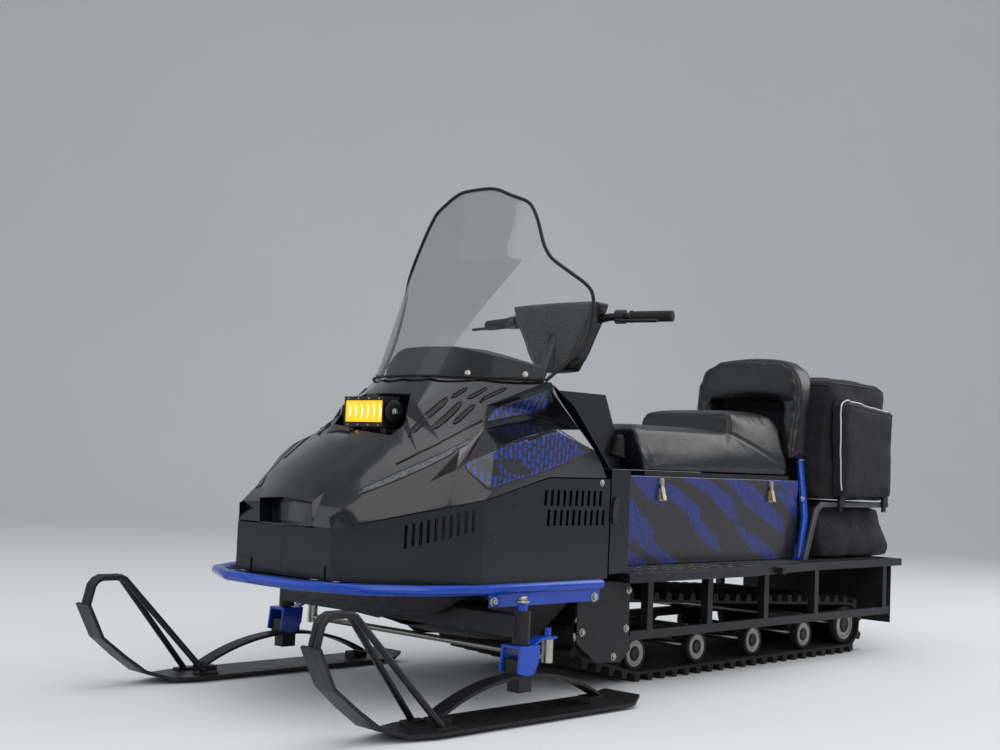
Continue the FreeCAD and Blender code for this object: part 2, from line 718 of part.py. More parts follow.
def build_seat_box():
    body = new_body("seat_box")
    outer = [("box_rear", "-box_half"), ("box_front", "-box_half"), ("box_front", "box_half"), ("box_rear", "box_half")]
    inner = [("box_rear + box_wall", "-box_half + box_wall"), ("box_front - box_wall", "-box_half + box_wall"),
             ("box_front - box_wall", "box_half - box_wall"), ("box_rear + box_wall", "box_half - box_wall")]
    pad(body, "XY_Plane", "deck_top", "box_top", [outer])
    pocket(body, "XY_Plane", "deck_top + box_wall", "box_top + 1", [inner])


def build_seat():
    """Driver's and passenger's seat on its base board, which is the storage box's lid."""
    board = new_body("seat_board_panel", kept=False)
    pad(board, "XY_Plane", "box_top + seat_gap", "box_top + seat_gap + seat_board",
        [[("seat_rear", "-box_half"), ("seat_front_low", "-box_half"), ("seat_front_low", "box_half"),
          ("seat_rear", "box_half")]])
    joined("seat_base", [board, new_feature("seat_hinge_leaves", seat_hinges()[1], kept=False)])
    foot = size("box_top + 2 * seat_gap + seat_board")
    half = size("box_half")
    low, high = size("seat_low_top"), size("seat_high_top")
    rear, step, rise = size("seat_rear"), size("seat_step_end"), size("seat_step_start")
    front_low, front_high = size("seat_front_low"), size("seat_front_high")
    side = ((front_low, foot), (front_high, low - 12), (front_high - 22, low), (rise, low), (step, high - 14),
            (step - 22, high), (rear + 40, high), (rear, high - 40), (rear, foot))
    solid = strip([(x, -half, z) for x, z in side], (0, 2 * half, 0))
    for s in (1, -1):
        wedge = strip([(front_high + 10, s * half, foot + 50), (front_high + 10, s * (half + 5), foot + 50),
                       (front_high + 10, s * (half + 5), high + 5), (front_high + 10, s * (half - 46), high + 5)],
                      (rear - front_high - 20, 0, 0))
        solid = solid.cut(wedge)
    new_feature("seat_cushion", solid)


def build_bolster():
    """Fixed cushion behind the lid, between the backrest's posts."""
    foot = size("box_top + seat_gap")
    front = size("seat_rear - move_gap")
    side = ((front, foot), (front, size("seat_high_top") - 30), (front - 30, size("seat_high_top") - 8),
            (front - 70, size("seat_high_top") - 40), (size("bag_front") + 10, foot + 60), (size("bag_front") + 10, foot))
    half = size("pad_half - pad_arm - move_gap")
    new_feature("rear_bolster", strip([(x, -half, z) for x, z in side], (0, 2 * half, 0)))


def build_backrest():
    """Two bent posts that lean inwards, and the pad whose arms sit over their tops."""
    half, radius, gap = size("hoop_half"), size("hoop_tube"), size("seat_gap")
    foot_x, top_x = size("hoop_foot_x"), size("hoop_top_x")
    foot_z, top_z = size("deck_top + seat_gap"), size("hoop_top_z")
    lean = (top_x - foot_x) / (top_z - foot_z)
    arm, foot = size("pad_arm"), size("pad_foot")
    pad_half, thick, top = size("pad_half"), size("pad_thick"), size("pad_top")

    def at(z):
        return foot_x + lean * (z - foot_z)

    posts, bores = [], []
    for s in (1, -1):
        start, bend = (foot_x - 22, s * half, foot_z - 12), (foot_x - 54, s * half, 450)
        end = (foot_x - 96, s * (pad_half - 37), foot + 60)
        post = tube((start, bend, end), 40, radius).cut(block((-900, -300, foot_z - 40), (-700, 300, foot_z)))
        foot_plate = block((foot_x - 44, s * half - 12, foot_z), (foot_x - 4, s * half + 12, foot_z + 6))
        posts.append(fuse([post, foot_plate]))
        share = (foot - 10 - bend[2]) / (end[2] - bend[2])
        low = tuple(b + (e - b) * share for b, e in zip(bend, end))
        bores.append(rod(low, tuple(e + (e - b) * 0.002 for b, e in zip(bend, end)), radius + gap))
    new_feature("backrest_hoop", Part.makeCompound(posts))
    arch = [(pad_half, foot), (pad_half, top - 96), (pad_half - 22, top - 40), (pad_half - 78, top - 8), (0, top)]
    outer = arch + [(-y, z) for y, z in reversed(arch[:-1])]
    inner = [(-pad_half + arm, foot), (-pad_half + arm, top - 150), (pad_half - arm, top - 150), (pad_half - arm, foot)]
    solid = strip([(at(z) + thick / 2, y, z) for y, z in outer + inner], (-thick, 0, 0))
    new_feature("backrest_pad", solid.cut(bores[0]).cut(bores[1]))


# Rack and bags

def build_rack():
    """Tube frame behind the backrest that carries the upper bag."""
    radius, z = size("rack_tube"), size("rack_z")
    foot_z = size("deck_top + seat_gap")
    front, rear, half = size("rack_front"), size("rack_rear"), size("rack_half")
    below = block((front, -half - 40, foot_z - 40), (front + 100, half + 40, foot_z))
    pieces = []
    for s in (1, -1):
        rail = tube(((front + 74, s * half, foot_z - 12), (front, s * half, z), (rear, s * half, z)), 60, radius)
        pieces.append(rail.cut(below))
    for x in (front - 80, rear + 2 * radius):
        pieces.append(bar((x, -half, z), (x, half, z), radius - 2))
    new_feature("rack_frame", fuse(pieces))


def build_bags():
    gap = size("seat_gap")
    front, rear, half, top = size("bag_front"), size("bag_rear"), size("bag_half"), size("bag_top")
    low = size("rack_z + rack_tube") + gap
    side = ((front, low), (front, 640), (front - 38, top - 20), (front - 62, top), (rear + 60, top),
            (rear + 12, top - 20), (rear, low))
    new_feature("bag_upper", strip([(x, -half, z) for x, z in side], (0, 2 * half, 0)))
    pockets = []
    for _, s in SIDES:
        y = s * (half + gap)
        pocket_shape = ((front - 55, low + 12), (front - 38, top - 98), (front - 73, top - 66),
                        (rear + 42, top - 98), (rear + 40, low + 112), (rear + 50, low + 12))
        pockets.append(strip([(x, y, z) for x, z in pocket_shape], (0, s * 46, 0)))
    new_feature("bag_pockets", Part.makeCompound(pockets))
    lower_top = size("rack_z - rack_tube") - gap
    deck = size("deck_top") + gap
    inner = half - size("rack_tube") - 3
    across = ((-half + 26, lower_top), (half - 26, lower_top), (half - 14, lower_top - 50), (half + 14, deck + 40),
              (half + 8, deck), (-half - 8, deck), (-half - 14, deck + 40), (-half + 14, lower_top - 50))
    body = strip([(rear, y, z) for y, z in across], (front - 8 - rear, 0, 0))
    for s in (1, -1):
        beside = ((front - 130, s * inner, lower_top + 1), (front - 40, s * inner, deck + 60), (front + 1, s * inner, deck - 1),
                  (front + 1, s * inner, lower_top + 1))
        body = body.cut(strip(beside, (0, s * 60, 0)))
    new_feature("bag_lower", body)


# Engine cowl, hood and windscreen: they open together about the front hinge

def build_cowls():
    """Steel engine cowl in two halves, with the moving leaves of the bonnet's hinges."""
    halves = []
    for label, side in SIDES:
        s = "" if side > 0 else "-1 * "
        body = new_body("cowl_" + label, kept=False)
        halves.append(body)
        plan = [("nose_x", "seat_gap"), ("nose_x", "nose_half"), ("side_front", "side_half"),
                ("cowl_rear", "side_half"), ("cowl_rear", "side_half - sheet_wall"),
                ("side_front + sheet_wall * 0.4", "side_half - sheet_wall"),
                ("nose_x - sheet_wall", "nose_half - sheet_wall * 0.4"), ("nose_x - sheet_wall", "seat_gap")]
        pad(body, "XY_Plane", "cowl_low", "seam_top - seam_gap", [[(x, s + "(" + y + ")") for x, y in plan]])
        low = "-1" if side > 0 else "-side_half - 1"
        high = "side_half + 1" if side > 0 else "1"
        above = [("nose_x + 5", "426.6 - seam_gap"), ("side_front", "505 - seam_gap"), ("593", "563 - seam_gap"),
                 ("cowl_rear - 5", "seam_top - seam_gap"), ("cowl_rear - 5", "600"), ("nose_x + 5", "600")]
        pocket(body, "XZ_Plane", low, high, [above])
        wall_low = "side_half - sheet_wall - 1" if side > 0 else "-side_half - 1"
        wall_high = "side_half + 1" if side > 0 else "-side_half + sheet_wall + 1"
        slots = []
        for bottom, top, shift in ((492, 531, 0), (443, 482, -13)):
            for index in range(SIDE_VENTS):
                x = 391 + shift + 23.2 * index
                slots.append([("%g" % x, "%g" % bottom), ("%g" % (x + 10), "%g" % bottom),
                              ("%g" % (x + 8), "%g" % top), ("%g" % (x - 2), "%g" % top)])
        pocket(body, "XZ_Plane", wall_low, wall_high, slots)
        slots = []
        for index in range(FRONT_VENTS):
            x = 835 + 14.2 * index
            top = 483 - 4.67 * index
            slots.append([("%g" % x, "%g" % (top - 54)), ("%g" % (x + 6), "%g" % (top - 55)),
                          ("%g" % (x + 6), "%g" % (top - 1)), ("%g" % x, "%g" % top)])
        inner = "nose_half" if side > 0 else "-side_half - 1"
        outer = "side_half + 1" if side > 0 else "-nose_half"
        pocket(body, "XZ_Plane", inner, outer, slots)
    joined("engine_cowl", halves + [new_feature("bonnet_hinge_leaves", bonnet_hinges()[1], kept=False)])


# Left half of the hood's skin, line by line from the middle outwards, each from nose to rear
HOOD_LINES = {
    # line: (X, Y, Z) at the stations
    "centre": ((1122, 0, 430), (1112, 0, 492), (1078, 0, 518), (1014, 0, 572), (955, 0, 620), (890, 0, 660)),
    "spine": ((1116, 79, 430), (1102, 101, 485), (1071, 106, 508), (1008, 109, 560), (949, 109, 606), (888, 123, 648)),
    "cheek": ((1108, 110, 429), (1092, 114, 477), (1056, 140, 506), (1004, 180, 553), (951, 202, 582), (894, 224, 613)),
    "lip": ((1104, 181, 428), (1089, 190, 473), (1047, 207, 499), (1014, 221, 520), (965, 253, 545), (892, 299, 588)),
    "crease": ((1104, 181, 428), (1092, 188, 466), (1046, 216, 484), (1012, 239, 494), (975, 263, 509), (918, 301, 542)),
    "border": ((1104, 181, 428), (1104, 181, 428), (1056, 216, 441), (1008, 250, 454), (960, 283, 467), (885, 335, 487)),
}

HOOD_CORNERS = {
    # corner: (X, Y, Z) of the scoop in the nose
    "scoop_foot_mid": (1086, 0, 435), "scoop_foot": (1081, 72, 435), "scoop_top_mid": (1078, 0, 482),
    "scoop_top": (1069, 92, 476),
    # and of the rear part: the lamp's pocket, its visor, the cheek, the shoulder and the side panel
    "pocket_back": (770, 0, 666), "pocket_side": (776, 100, 666), "visor_mid": (794, 0, 758),
    "visor_end": (791, 84, 757), "brow_end": (728, 86, 800), "base_mid": (742, 0, 800),
    "wall_low": (855, 131, 674), "wall_mid": (840, 124, 701), "wall_high": (821, 142, 725),
    "ridge": (745, 152, 763), "base": (663, 204, 800), "base_end": (547, 320, 800),
    "cheek_five": (839, 246, 641), "cheek_six": (776, 250, 665), "cheek_end": (729, 274, 688),
    "lip_end": (841, 317, 618), "crease_end": (868, 335, 572), "corner": (817, 384, 505),
    "flat_low": (799, 386, 519), "flat_top": (775, 376, 630), "shoulder_low": (728, 286, 676),
    "shoulder_top": (698, 262, 733), "seam_mid": (593, 384, 563), "panel_mid": (612, 390, 575),
    "panel_top": (581, 386, 679), "shoulder_mid": (518, 296, 715), "shoulder_end": (543, 324, 787),
    "rear_low": (372, 384, 564), "rear_flat": (400, 388, 600), "rear_panel": (431, 388, 634),
    "rear_side": (465, 366, 684), "rear_edge": (516, 332, 764), "rear_base": (529, 322, 800),
    "rear_mid": (529, 0, 800),
}

HOOD_FACES = (
    ("centre0", "scoop_foot_mid", "scoop_foot", "spine0"),
    ("scoop_foot_mid", "scoop_top_mid", "scoop_top", "scoop_foot"),
    ("scoop_top_mid", "centre1", "spine1", "scoop_top"),
    ("spine0", "scoop_foot", "scoop_top", "spine1"),
    ("centre5", "pocket_back", "pocket_side", "spine5"),
    ("pocket_back", "visor_mid", "visor_end", "pocket_side"),
    ("visor_mid", "base_mid", "brow_end", "visor_end"),
    ("base_mid", "rear_mid", "rear_base", "base_end", "base", "brow_end"),
    ("spine5", "pocket_side", "wall_low"),
    ("pocket_side", "wall_mid", "wall_low"),
    ("pocket_side", "visor_end", "wall_high", "wall_mid"),
    ("visor_end", "brow_end", "ridge", "wall_high"),
    ("brow_end", "base", "ridge"),
    ("spine5", "wall_low", "cheek5"),
    ("wall_low", "wall_mid", "cheek_five", "cheek5"),
    ("wall_mid", "wall_high", "cheek_six", "cheek_five"),
    ("wall_high", "ridge", "cheek_end", "cheek_six"),
    ("ridge", "base", "shoulder_top", "cheek_end"),
    ("base", "base_end", "shoulder_end", "shoulder_top"),
    ("base_end", "rear_base", "rear_edge", "shoulder_end"),
    ("cheek5", "cheek_five", "lip_end", "lip5"),
    ("cheek_five", "cheek_six", "lip_end"),
    ("cheek_six", "cheek_end", "shoulder_low", "lip_end"),
    ("cheek_end", "shoulder_top", "shoulder_low"),
    ("lip5", "lip_end", "crease_end", "crease5"),
    ("lip_end", "shoulder_low", "flat_top", "crease_end"),
    ("crease5", "crease_end", "corner", "border5"),
    ("crease_end", "flat_low", "corner"),
    ("crease_end", "flat_top", "flat_low"),
    ("shoulder_low", "shoulder_top", "shoulder_end", "shoulder_mid"),
    ("shoulder_low", "shoulder_mid", "panel_top", "flat_top"),
    ("flat_top", "panel_top", "panel_mid", "flat_low"),
    ("flat_low", "panel_mid", "seam_mid", "corner"),
    ("shoulder_mid", "shoulder_end", "rear_edge", "rear_side"),
    ("shoulder_mid", "rear_side", "panel_top"),
    ("panel_top", "rear_side", "rear_panel"),
    ("panel_top", "rear_panel", "panel_mid"),
    ("panel_mid", "rear_panel", "rear_flat", "seam_mid"),
    ("seam_mid", "rear_flat", "rear_low"),
)


def build_hood():
    corners = {}
    faces = []
    for s, tag in ((1, "L"), (-1, "R")):
        def named(name):
            x, y, z = HOOD_CORNERS[name] if name in HOOD_CORNERS else HOOD_LINES[name[:-1]][int(name[-1])]
            key = name + ("" if y == 0 else tag)
            corners[key] = point(x, s * y, z)
            return key
        loops = [[named(name) for name in loop] for loop in HOOD_FACES]
        lines = list(HOOD_LINES)
        for inner, outer in zip(lines, lines[1:]):
            for station in range(1 if inner == "centre" else 0, len(HOOD_LINES[inner]) - 1):
                loops.append([named(inner + str(station)), named(inner + str(station + 1)),
                              named(outer + str(station + 1)), named(outer + str(station))])
        faces += [loop[::-1] if s > 0 else loop for loop in loops]
    merged = {}
    rename = {}
    for key, place in corners.items():
        spot = (round(place.x, 3), round(place.y, 3), round(place.z, 3))
        rename[key] = merged.setdefault(spot, key)
    faces = [[rename[key] for key in loop] for loop in faces]
    faces = [[key for index, key in enumerate(loop) if key != loop[index - 1]] for loop in faces]
    new_feature("hood", sheet_from(corners, [loop for loop in faces if len(loop) > 2], size("hood_wall")))


# Half widths of the windscreen at its heights, from the top down
SCREEN_EDGE = (
    # height, half width
    (1334, 44), (1325, 84), (1309, 122), (1289, 172), (1268, 194), (1231, 216), (1175, 241), (1148, 256),
    (1127, 272), (1099, 305), (1065, 344), (1040, 360), (1002, 368), (950, 372), (900, 366), (850, 345), (802, 320),
)


def screen_x(y, z):
    """X of the windscreen's wings: they lean back and wrap round, less tightly towards the top."""
    height = z - 800
    return 742 - 0.45 * height - (0.0019 - 0.000001 * height) * y * y


def screen_point(share, half, z):
    """A point at a share of the half width. Inside the two folds the panel is nearly flat."""
    y = half * share
    fold = min(72 + 0.415 * (z - 800), half * 0.8)
    if abs(y) > fold:
        return point(screen_x(y, z), y, z)
    bulge = 0.35 * (screen_x(0, z) - screen_x(fold, z)) * (1 - (y / fold) ** 2)
    return point(screen_x(fold, z) + bulge, y, z)


def build_windscreen():
    corners, faces = {}, []
    for row, (z, half) in enumerate(SCREEN_EDGE):
        fold = min(72 + 0.415 * (z - 800), half * 0.8) / half
        side = (fold / 2, fold, fold + (1 - fold) / 3, fold + (1 - fold) * 2 / 3, 1)
        shares = [-share for share in reversed(side)] + [0] + list(side)
        for column, share in enumerate(shares):
            corners["%d_%d" % (row, column)] = screen_point(share, half, z)
    for row in range(len(SCREEN_EDGE) - 1):
        for column in range(len(shares) - 1):
            a, b = "%d_%d" % (row, column), "%d_%d" % (row, column + 1)
            c, d = "%d_%d" % (row + 1, column + 1), "%d_%d" % (row + 1, column)
            faces.append((a, d, c, b))
    new_feature("windscreen", sheet_from(corners, faces, size("screen_wall")))


def build_lamp():
    """Square work lamp in the hood's pocket, on two feet that stand on the pocket's floor."""
    x, z = 872, 707
    gap = size("seat_gap")
    housing = block((x - 52, -74, z - 38), (x, 74, z + 38))
    fins = [block((x - 53, -66 + 14 * index, z - 30), (x - 40, -60 + 14 * index, z + 30)) for index in range(10)]
    lens_hole = block((x - 6, -70, z - 26), (x + 1, 70, z + 28))
    lens = block((x - 6 + gap, -70 + gap, z - 26 + gap), (x - 2, 70 - gap, z + 28 - gap))
    new_feature("lamp_lens", lens)
    housing = housing.cut(lens_hole)
    for fin in fins:
        housing = housing.cut(fin)
    hood = [item for item in parts if item.Label == "hood"][0].Shape
    feet = []
    for s in (1, -1):
        foot = block((x - 40, s * 60 - 9, 630), (x - 16, s * 60 + 9, z - 37)).cut(hood)
        feet.append(max(foot.Solids, key=lambda piece: piece.BoundBox.ZMax))
        feet.append(bar((x - 28, s * 73, z), (x - 28, s * 80, z), 15))
    new_feature("lamp_housing", fuse([housing] + feet))


# Belly, engine, bumper and flanks

def build_belly():
    """Pressed pan under the engine: a shallow keel with sides that flare to the cowl."""
    top = size("cowl_low") - 5
    lines = (
        # from the middle outwards, stations nose to rear
        ((1086, 0, 272), (1010, 0, 243), (766, 0, 184), (590, 0, 142), (421.3, 0, 114)),
        ((1084, 120, 276), (892, 180, 271), (766, 188, 204), (590, 190, 162), (421.3, 196, 129)),
        ((1084, 168, top), (1020, 214, top), (800, 366, top), (590, 372, top), (421.3, 372, top)),
    )
    corners, faces = {}, []
    for s, tag in ((1, "L"), (-1, "R")):
        names = []
        for line, places in enumerate(lines):
            row = []
            for station, (x, y, z) in enumerate(places):
                key = "%d_%d%s" % (line, station, tag if y else "")
                corners[key] = point(x, s * y, z)
                row.append(key)
            names.append(row)
        for inner, outer in zip(names, names[1:]):
            for station in range(len(inner) - 1):
                loop = [inner[station], outer[station], outer[station + 1], inner[station + 1]]
                faces.append(loop[::-1] if s > 0 else loop)
    corners["nose"] = point(1086, 0, top)
    faces.append(["1_0L", "2_0L", "nose", "0_0"])
    faces.append(["nose", "2_0R", "1_0R", "0_0"])
    pan = sheet_from(corners, faces, size("sheet_wall"))
    beam_hole = block((size("spindle_x") - 44, -450, 172), (size("spindle_x") + 52, 450, 262))
    new_feature("belly_pan", pan.cut(beam_hole))


def build_engine():
    """Plain block where the engine sits, on two rails and the ski beam."""
    floor = "beam_top + seat_gap"
    box_part("engine", ("560 - engine_long / 2", "-engine_wide / 2", floor),
             ("560 + engine_long / 2", "engine_wide / 2", floor + " + engine_high"))


def build_bumper():
    """Bumper tube round the nose, with a flat plate under each side and bars that bolt it to the belly."""
    z, radius = size("bumper_z"), size("bumper_tube")
    half = [(398, 397), (820, 397), (973, 353), (1089, 280), (1158, 134)]
    path = [(x, y, z) for x, y in half] + [(x, -y, z) for x, y in reversed(half)]
    pieces = [tube(path, 60, radius)]
    for s in (1, -1):
        pieces.append(mirror_side(block((400, 391, z - 42), (798, 396, z - 6)), s))
        pieces.append(mirror_side(block((560, 372.2, z - 4), (590, 392, 305.9)), s))
        pieces.append(mirror_side(block((1085.2, 60, z - 8), (1150, 84, z)), s))
    new_feature("bumper", fuse(pieces))


def build_flanks():
    """Panels behind the cowl that close the engine bay beside the seat, and the bulkhead between them."""
    panels = []
    for label, side in SIDES:
        s = "" if side > 0 else "-1 * "
        body = new_body("flank_" + label, kept=False)
        panels.append(body)
        outer = [("cowl_rear - move_gap", "tower_half + seat_gap"), ("cowl_rear - move_gap", "side_half"),
                 ("flank_rear + 12", "side_half"), ("flank_rear", "side_half - 12"),
                 ("box_front + 4", "box_half + 4"), ("box_front + 4", "tower_half + seat_gap")]
        pad(body, "XY_Plane", "deck_top + seat_gap", "flank_top", [[(x, s + "(" + y + ")") for x, y in outer]])
        w = " - sheet_wall"
        inner = [("cowl_rear", "tower_half + seat_gap" + " + sheet_wall"), ("cowl_rear", "side_half" + w),
                 ("flank_rear + 13", "side_half" + w), ("flank_rear + sheet_wall", "side_half - 13" + w),
                 ("box_front + 4 + sheet_wall", "box_half + 3"),
                 ("box_front + 4 + sheet_wall", "tower_half + seat_gap + sheet_wall")]
        pocket(body, "XY_Plane", "deck_top + seat_gap + sheet_wall", "flank_top - sheet_wall",
               [[(x, s + "(" + y + ")") for x, y in inner]])
    panels.append(box_part("bulkhead", ("box_front + 4", "-tower_half", "deck_top + seat_gap"),
                           ("box_front + 4 + sheet_wall", "tower_half", "box_top + seat_gap"), kept=False))
    joined("flank_panels", panels)


def console_panels():
    """Sloping panels beside the tower, behind the hood's rear edge."""
    panels = []
    low, high = size("flank_top + seat_gap") + 2.2, size("tower_top")
    inner = size("tower_half + seat_gap")
    back, front = size("cowl_rear - move_gap") - 4, size("tower_front") - 4
    for label, side in SIDES:
        corners = {
            "a": point(back, inner, low), "b": point(back, 374, low), "c": point(front - 37, 345, high - 49.6),
            "d": point(front, 304, high), "e": point(front, inner, high),
        }
        shell = sheet_from(corners, [("a", "e", "d", "c", "b")], size("sheet_wall"))
        panels.append(new_feature("console_" + label, mirror_side(shell, side), kept=False))
    return panels


def build_tower():
    """Upright housing behind the hood, which carries the steering column's bush."""
    body = new_body("tower", kept=False)
    foot = "box_top + 1"
    outline = [("tower_rear_low", foot), ("tower_rear_low + 36", "box_top + 112"), ("tower_rear_top", "tower_top"),
               ("tower_front", "tower_top"), ("tower_front", "tower_top - 60"), ("cowl_rear - move_gap", foot)]
    pad(body, "XZ_Plane", "-tower_half", "tower_half", [outline])
    w = "sheet_wall"
    inner = [("tower_rear_low + %s" % w, foot + " - 2"), ("tower_rear_low + 36 + %s" % w, "box_top + 112"),
             ("tower_rear_top + %s" % w, "tower_top - %s" % w), ("tower_front - %s" % w, "tower_top - %s" % w),
             ("tower_front - %s" % w, "tower_top - 59"), ("cowl_rear - move_gap - %s" % w, foot + " - 2")]
    pocket(body, "XZ_Plane", "-tower_half + sheet_wall", "tower_half - sheet_wall", [inner])
    x, _, z = column_point((size("column_top_z") - size("tower_top")) / math.cos(math.radians(size("column_tilt"))))
    pocket(body, "XY_Plane", "tower_top - %s - 1" % w, "tower_top + 1",
           [[("%g" % (x - 24), "-20"), ("%g" % (x + 24), "-20"), ("%g" % (x + 24), "20"), ("%g" % (x - 24), "20")]])
    bars = []
    half = size("tower_half - sheet_wall - seat_gap")
    for distance in (250, 400):
        bar = column_block(distance - 12, distance + 12, 24, half)
        bars.append(bar.cut(rod(column_point(distance - 30), column_point(distance + 30),
                                size("column_radius") + 0.05)))
    bearings = new_feature("column_bearings", Part.makeCompound(bars), kept=False)
    joined("instrument_console", [body, bearings] + console_panels())


# Steering

def column_point(distance):
    """A point on the column's axis, measured down from the handlebar's middle."""
    tilt = math.radians(size("column_tilt"))
    return (size("column_top_x") + math.sin(tilt) * distance, 0, size("column_top_z") - math.cos(tilt) * distance)


def column_block(near, far, half_deep, half_wide):
    """A block square to the column between two distances down its axis."""
    tilt = math.radians(size("column_tilt"))
    across = point(math.cos(tilt), 0, math.sin(tilt))
    top, low = point(*column_point(near)), point(*column_point(far))
    corners = [top - across * half_deep, top + across * half_deep, low + across * half_deep, low - across * half_deep]
    corners = [tuple(corner - point(0, half_wide, 0)) for corner in corners]
    return strip(corners, (0, 2 * half_wide, 0))


def bar_path():
    """Corners of the handlebar's left half."""
    x, z = size("column_top_x"), size("column_top_z")
    half, sweep, rise = size("bar_half"), size("bar_sweep"), size("bar_rise")
    return [(x, 90, z), (x - sweep * 0.25, 170, z + rise), (x - sweep, half, z + rise)]


def build_steering():
    radius, gap = size("column_radius"), size("seat_gap")
    bar_r, grip_r, grip_l = size("bar_radius"), size("grip_radius"), size("grip_length")
    side = bar_path()
    path = [(x, -y, z) for x, y, z in reversed(side)] + side
    handle = tube(path, 40, bar_r)
    column = rod(column_point(20), column_point(size("column_length")), radius)
    clamp = column_block(-22, 30, 24, 34)
    hole = rod((side[0][0], -40, side[0][2]), (side[0][0], 40, side[0][2]), bar_r + gap)
    new_feature("steering_column", fuse([column, clamp]).cut(hole))
    a, b = point(*side[1]), point(*side[2])
    heading = (b - a).normalize()
    grips = []
    for s in (1, -1):
        end = b + heading * 3
        start = end - heading * grip_l
        grip = bar(tuple(start), tuple(end), grip_r).cut(rod(tuple(start - heading), tuple(b + heading * gap),
                                                            bar_r + gap))
        grips.append(mirror_side(grip, s))
    new_feature("grips", Part.makeCompound(grips))
    levers = []
    for s in (1, -1):
        at = b - heading * (grip_l + 28)
        collar = bar(tuple(at - heading * 14), tuple(at + heading * 14), bar_r + 9)
        reach = (at + point(34, 8, -14), at + point(46, 40, -18), at + point(30, 150, -20))
        lever = tube([tuple(at + point(8, 0, -6))] + [tuple(p) for p in reach], 12, 4.5)
        whole = fuse([collar, lever]).cut(rod(tuple(a), tuple(b), bar_r + gap))
        levers.append(mirror_side(whole, s))
    new_feature("handlebar", Part.makeCompound([handle] + levers))
    x, z = size("column_top_x"), size("column_top_z")
    pad_solid = strip([(x - 24, y, z + h) for y, h in ((-165, 58), (165, 58), (150, 6), (96, -96), (62, -140),
                                                      (-62, -140), (-96, -96), (-150, 6))], (62, 0, 0))
    pad_solid = pad_solid.cut(tube(path, 40, bar_r + gap)).cut(column_block(-22 - gap, 30 + gap, 24 + gap, 34 + gap))
    pad_solid = pad_solid.cut(rod(column_point(20), column_point(240), radius + gap))
    keep = max(pad_solid.Solids, key=lambda piece: piece.Volume)
    new_feature("bar_pad", keep)


# Skis: deck with upturned tip, loops, leaf spring, saddle and yoke

def build_skis():
    """The pieces of each ski, made about the middle line and moved out to the stance."""
    stance = size("stance_half")
    for label, side in SIDES:
        for name, make in (("ski_", ski), ("ski_spring_", ski_spring), ("ski_yoke_", spindle_yoke)):
            shape = make()
            shape.translate(point(0, stance, 0))
            new_feature(name + label, mirror_side(shape, side))


def ski():
    return fuse([ski_deck()] + ski_loops())


def ski_deck():
    low, thick, half = size("ski_deck_low"), size("ski_deck_thick"), size("ski_width") / 2
    tail, bend = size("ski_tail"), size("ski_bend")
    tip_x, tip_z = size("ski_tip_x"), size("ski_tip_z")
    under = ((tail, low + 14), (tail + 50, low), (bend, low), (bend + 70, low + 22), (bend + 130, low + 64),
             (tip_x - 42, low + 116), (tip_x, tip_z))
    over = ((tip_x - thick, tip_z + 3), (tip_x - 42 - thick, low + 119), (bend + 130 - thick * 0.7, low + 64 + thick * 0.8),
            (bend + 70 - 3, low + 22 + thick), (bend, low + thick), (tail + 50, low + thick), (tail, low + 14 + thick))
    side = strip([(x, -half, z) for x, z in under + over], (0, 2 * half, 0))
    tip_half = size("ski_tip_width") / 2
    plan = ((tail - 1, -half + 20), (tail + 40, -half), (bend - 70, -half), (bend + 60, -tip_half - 9),
            (tip_x - 60, -tip_half), (tip_x + 5, -tip_half), (tip_x + 5, tip_half), (tip_x - 60, tip_half),
            (bend + 60, tip_half + 9), (bend - 70, half), (tail + 40, half), (tail - 1, half - 20))
    deck = side.common(strip([(x, y, -5) for x, y in plan], (0, 0, 400)))
    keel = block((tail + 60, -8, 0), (bend - 20, 8, low))
    mounts = [block((x - 24, -20, low + thick), (x + 24, 20, size("spring_foot - spring_thick - seat_gap")))
              for x in (size("spindle_x - spring_half") + 10, size("spindle_x + spring_half") - 10)]
    return fuse([deck, keel] + mounts)


def ski_loops():
    """Two bars side by side from the tip over a round top, parting on the way back down to the deck."""
    r = size("loop_bar")
    top_z = size("loop_top_z")
    foot_x = size("loop_foot_x")
    foot_z = size("ski_deck_low + ski_deck_thick") + 5
    tip_x, tip_z = size("ski_tip_x"), size("ski_tip_z")
    bars = []
    for s in (1, -1):
        y_top = s * (r + 0.6)
        path = ((foot_x, s * 48, foot_z), (tip_x - 106, y_top, top_z), (tip_x - 28, y_top, top_z),
                (tip_x - 11, y_top, tip_z - 6))
        bars.append(tube(path, 34, r))
        pad_foot = block((foot_x - 34, s * 48 - 14, size("ski_deck_low + ski_deck_thick") - 1),
                         (foot_x + 24, s * 48 + 14, foot_z + 1))
        bars.append(pad_foot)
    return bars


def leaf_spring():
    half, thick, wide = size("spring_half"), size("spring_thick"), size("spring_width")
    middle, crown, foot = size("spindle_x"), size("spring_crown"), size("spring_foot")
    y = -wide / 2

    def arc(drop):
        return Part.Arc(point(middle - half, y, foot - drop), point(middle, y, crown - drop),
                        point(middle + half, y, foot - drop)).toShape()

    top, under = arc(0), arc(thick)
    ends = [Part.LineSegment(top.Vertexes[0].Point, under.Vertexes[0].Point).toShape(),
            Part.LineSegment(top.Vertexes[1].Point, under.Vertexes[1].Point).toShape()]
    wire = Part.Wire(Part.__sortEdges__([top, under] + ends))
    return Part.Face(wire).extrude(point(0, wide, 0))


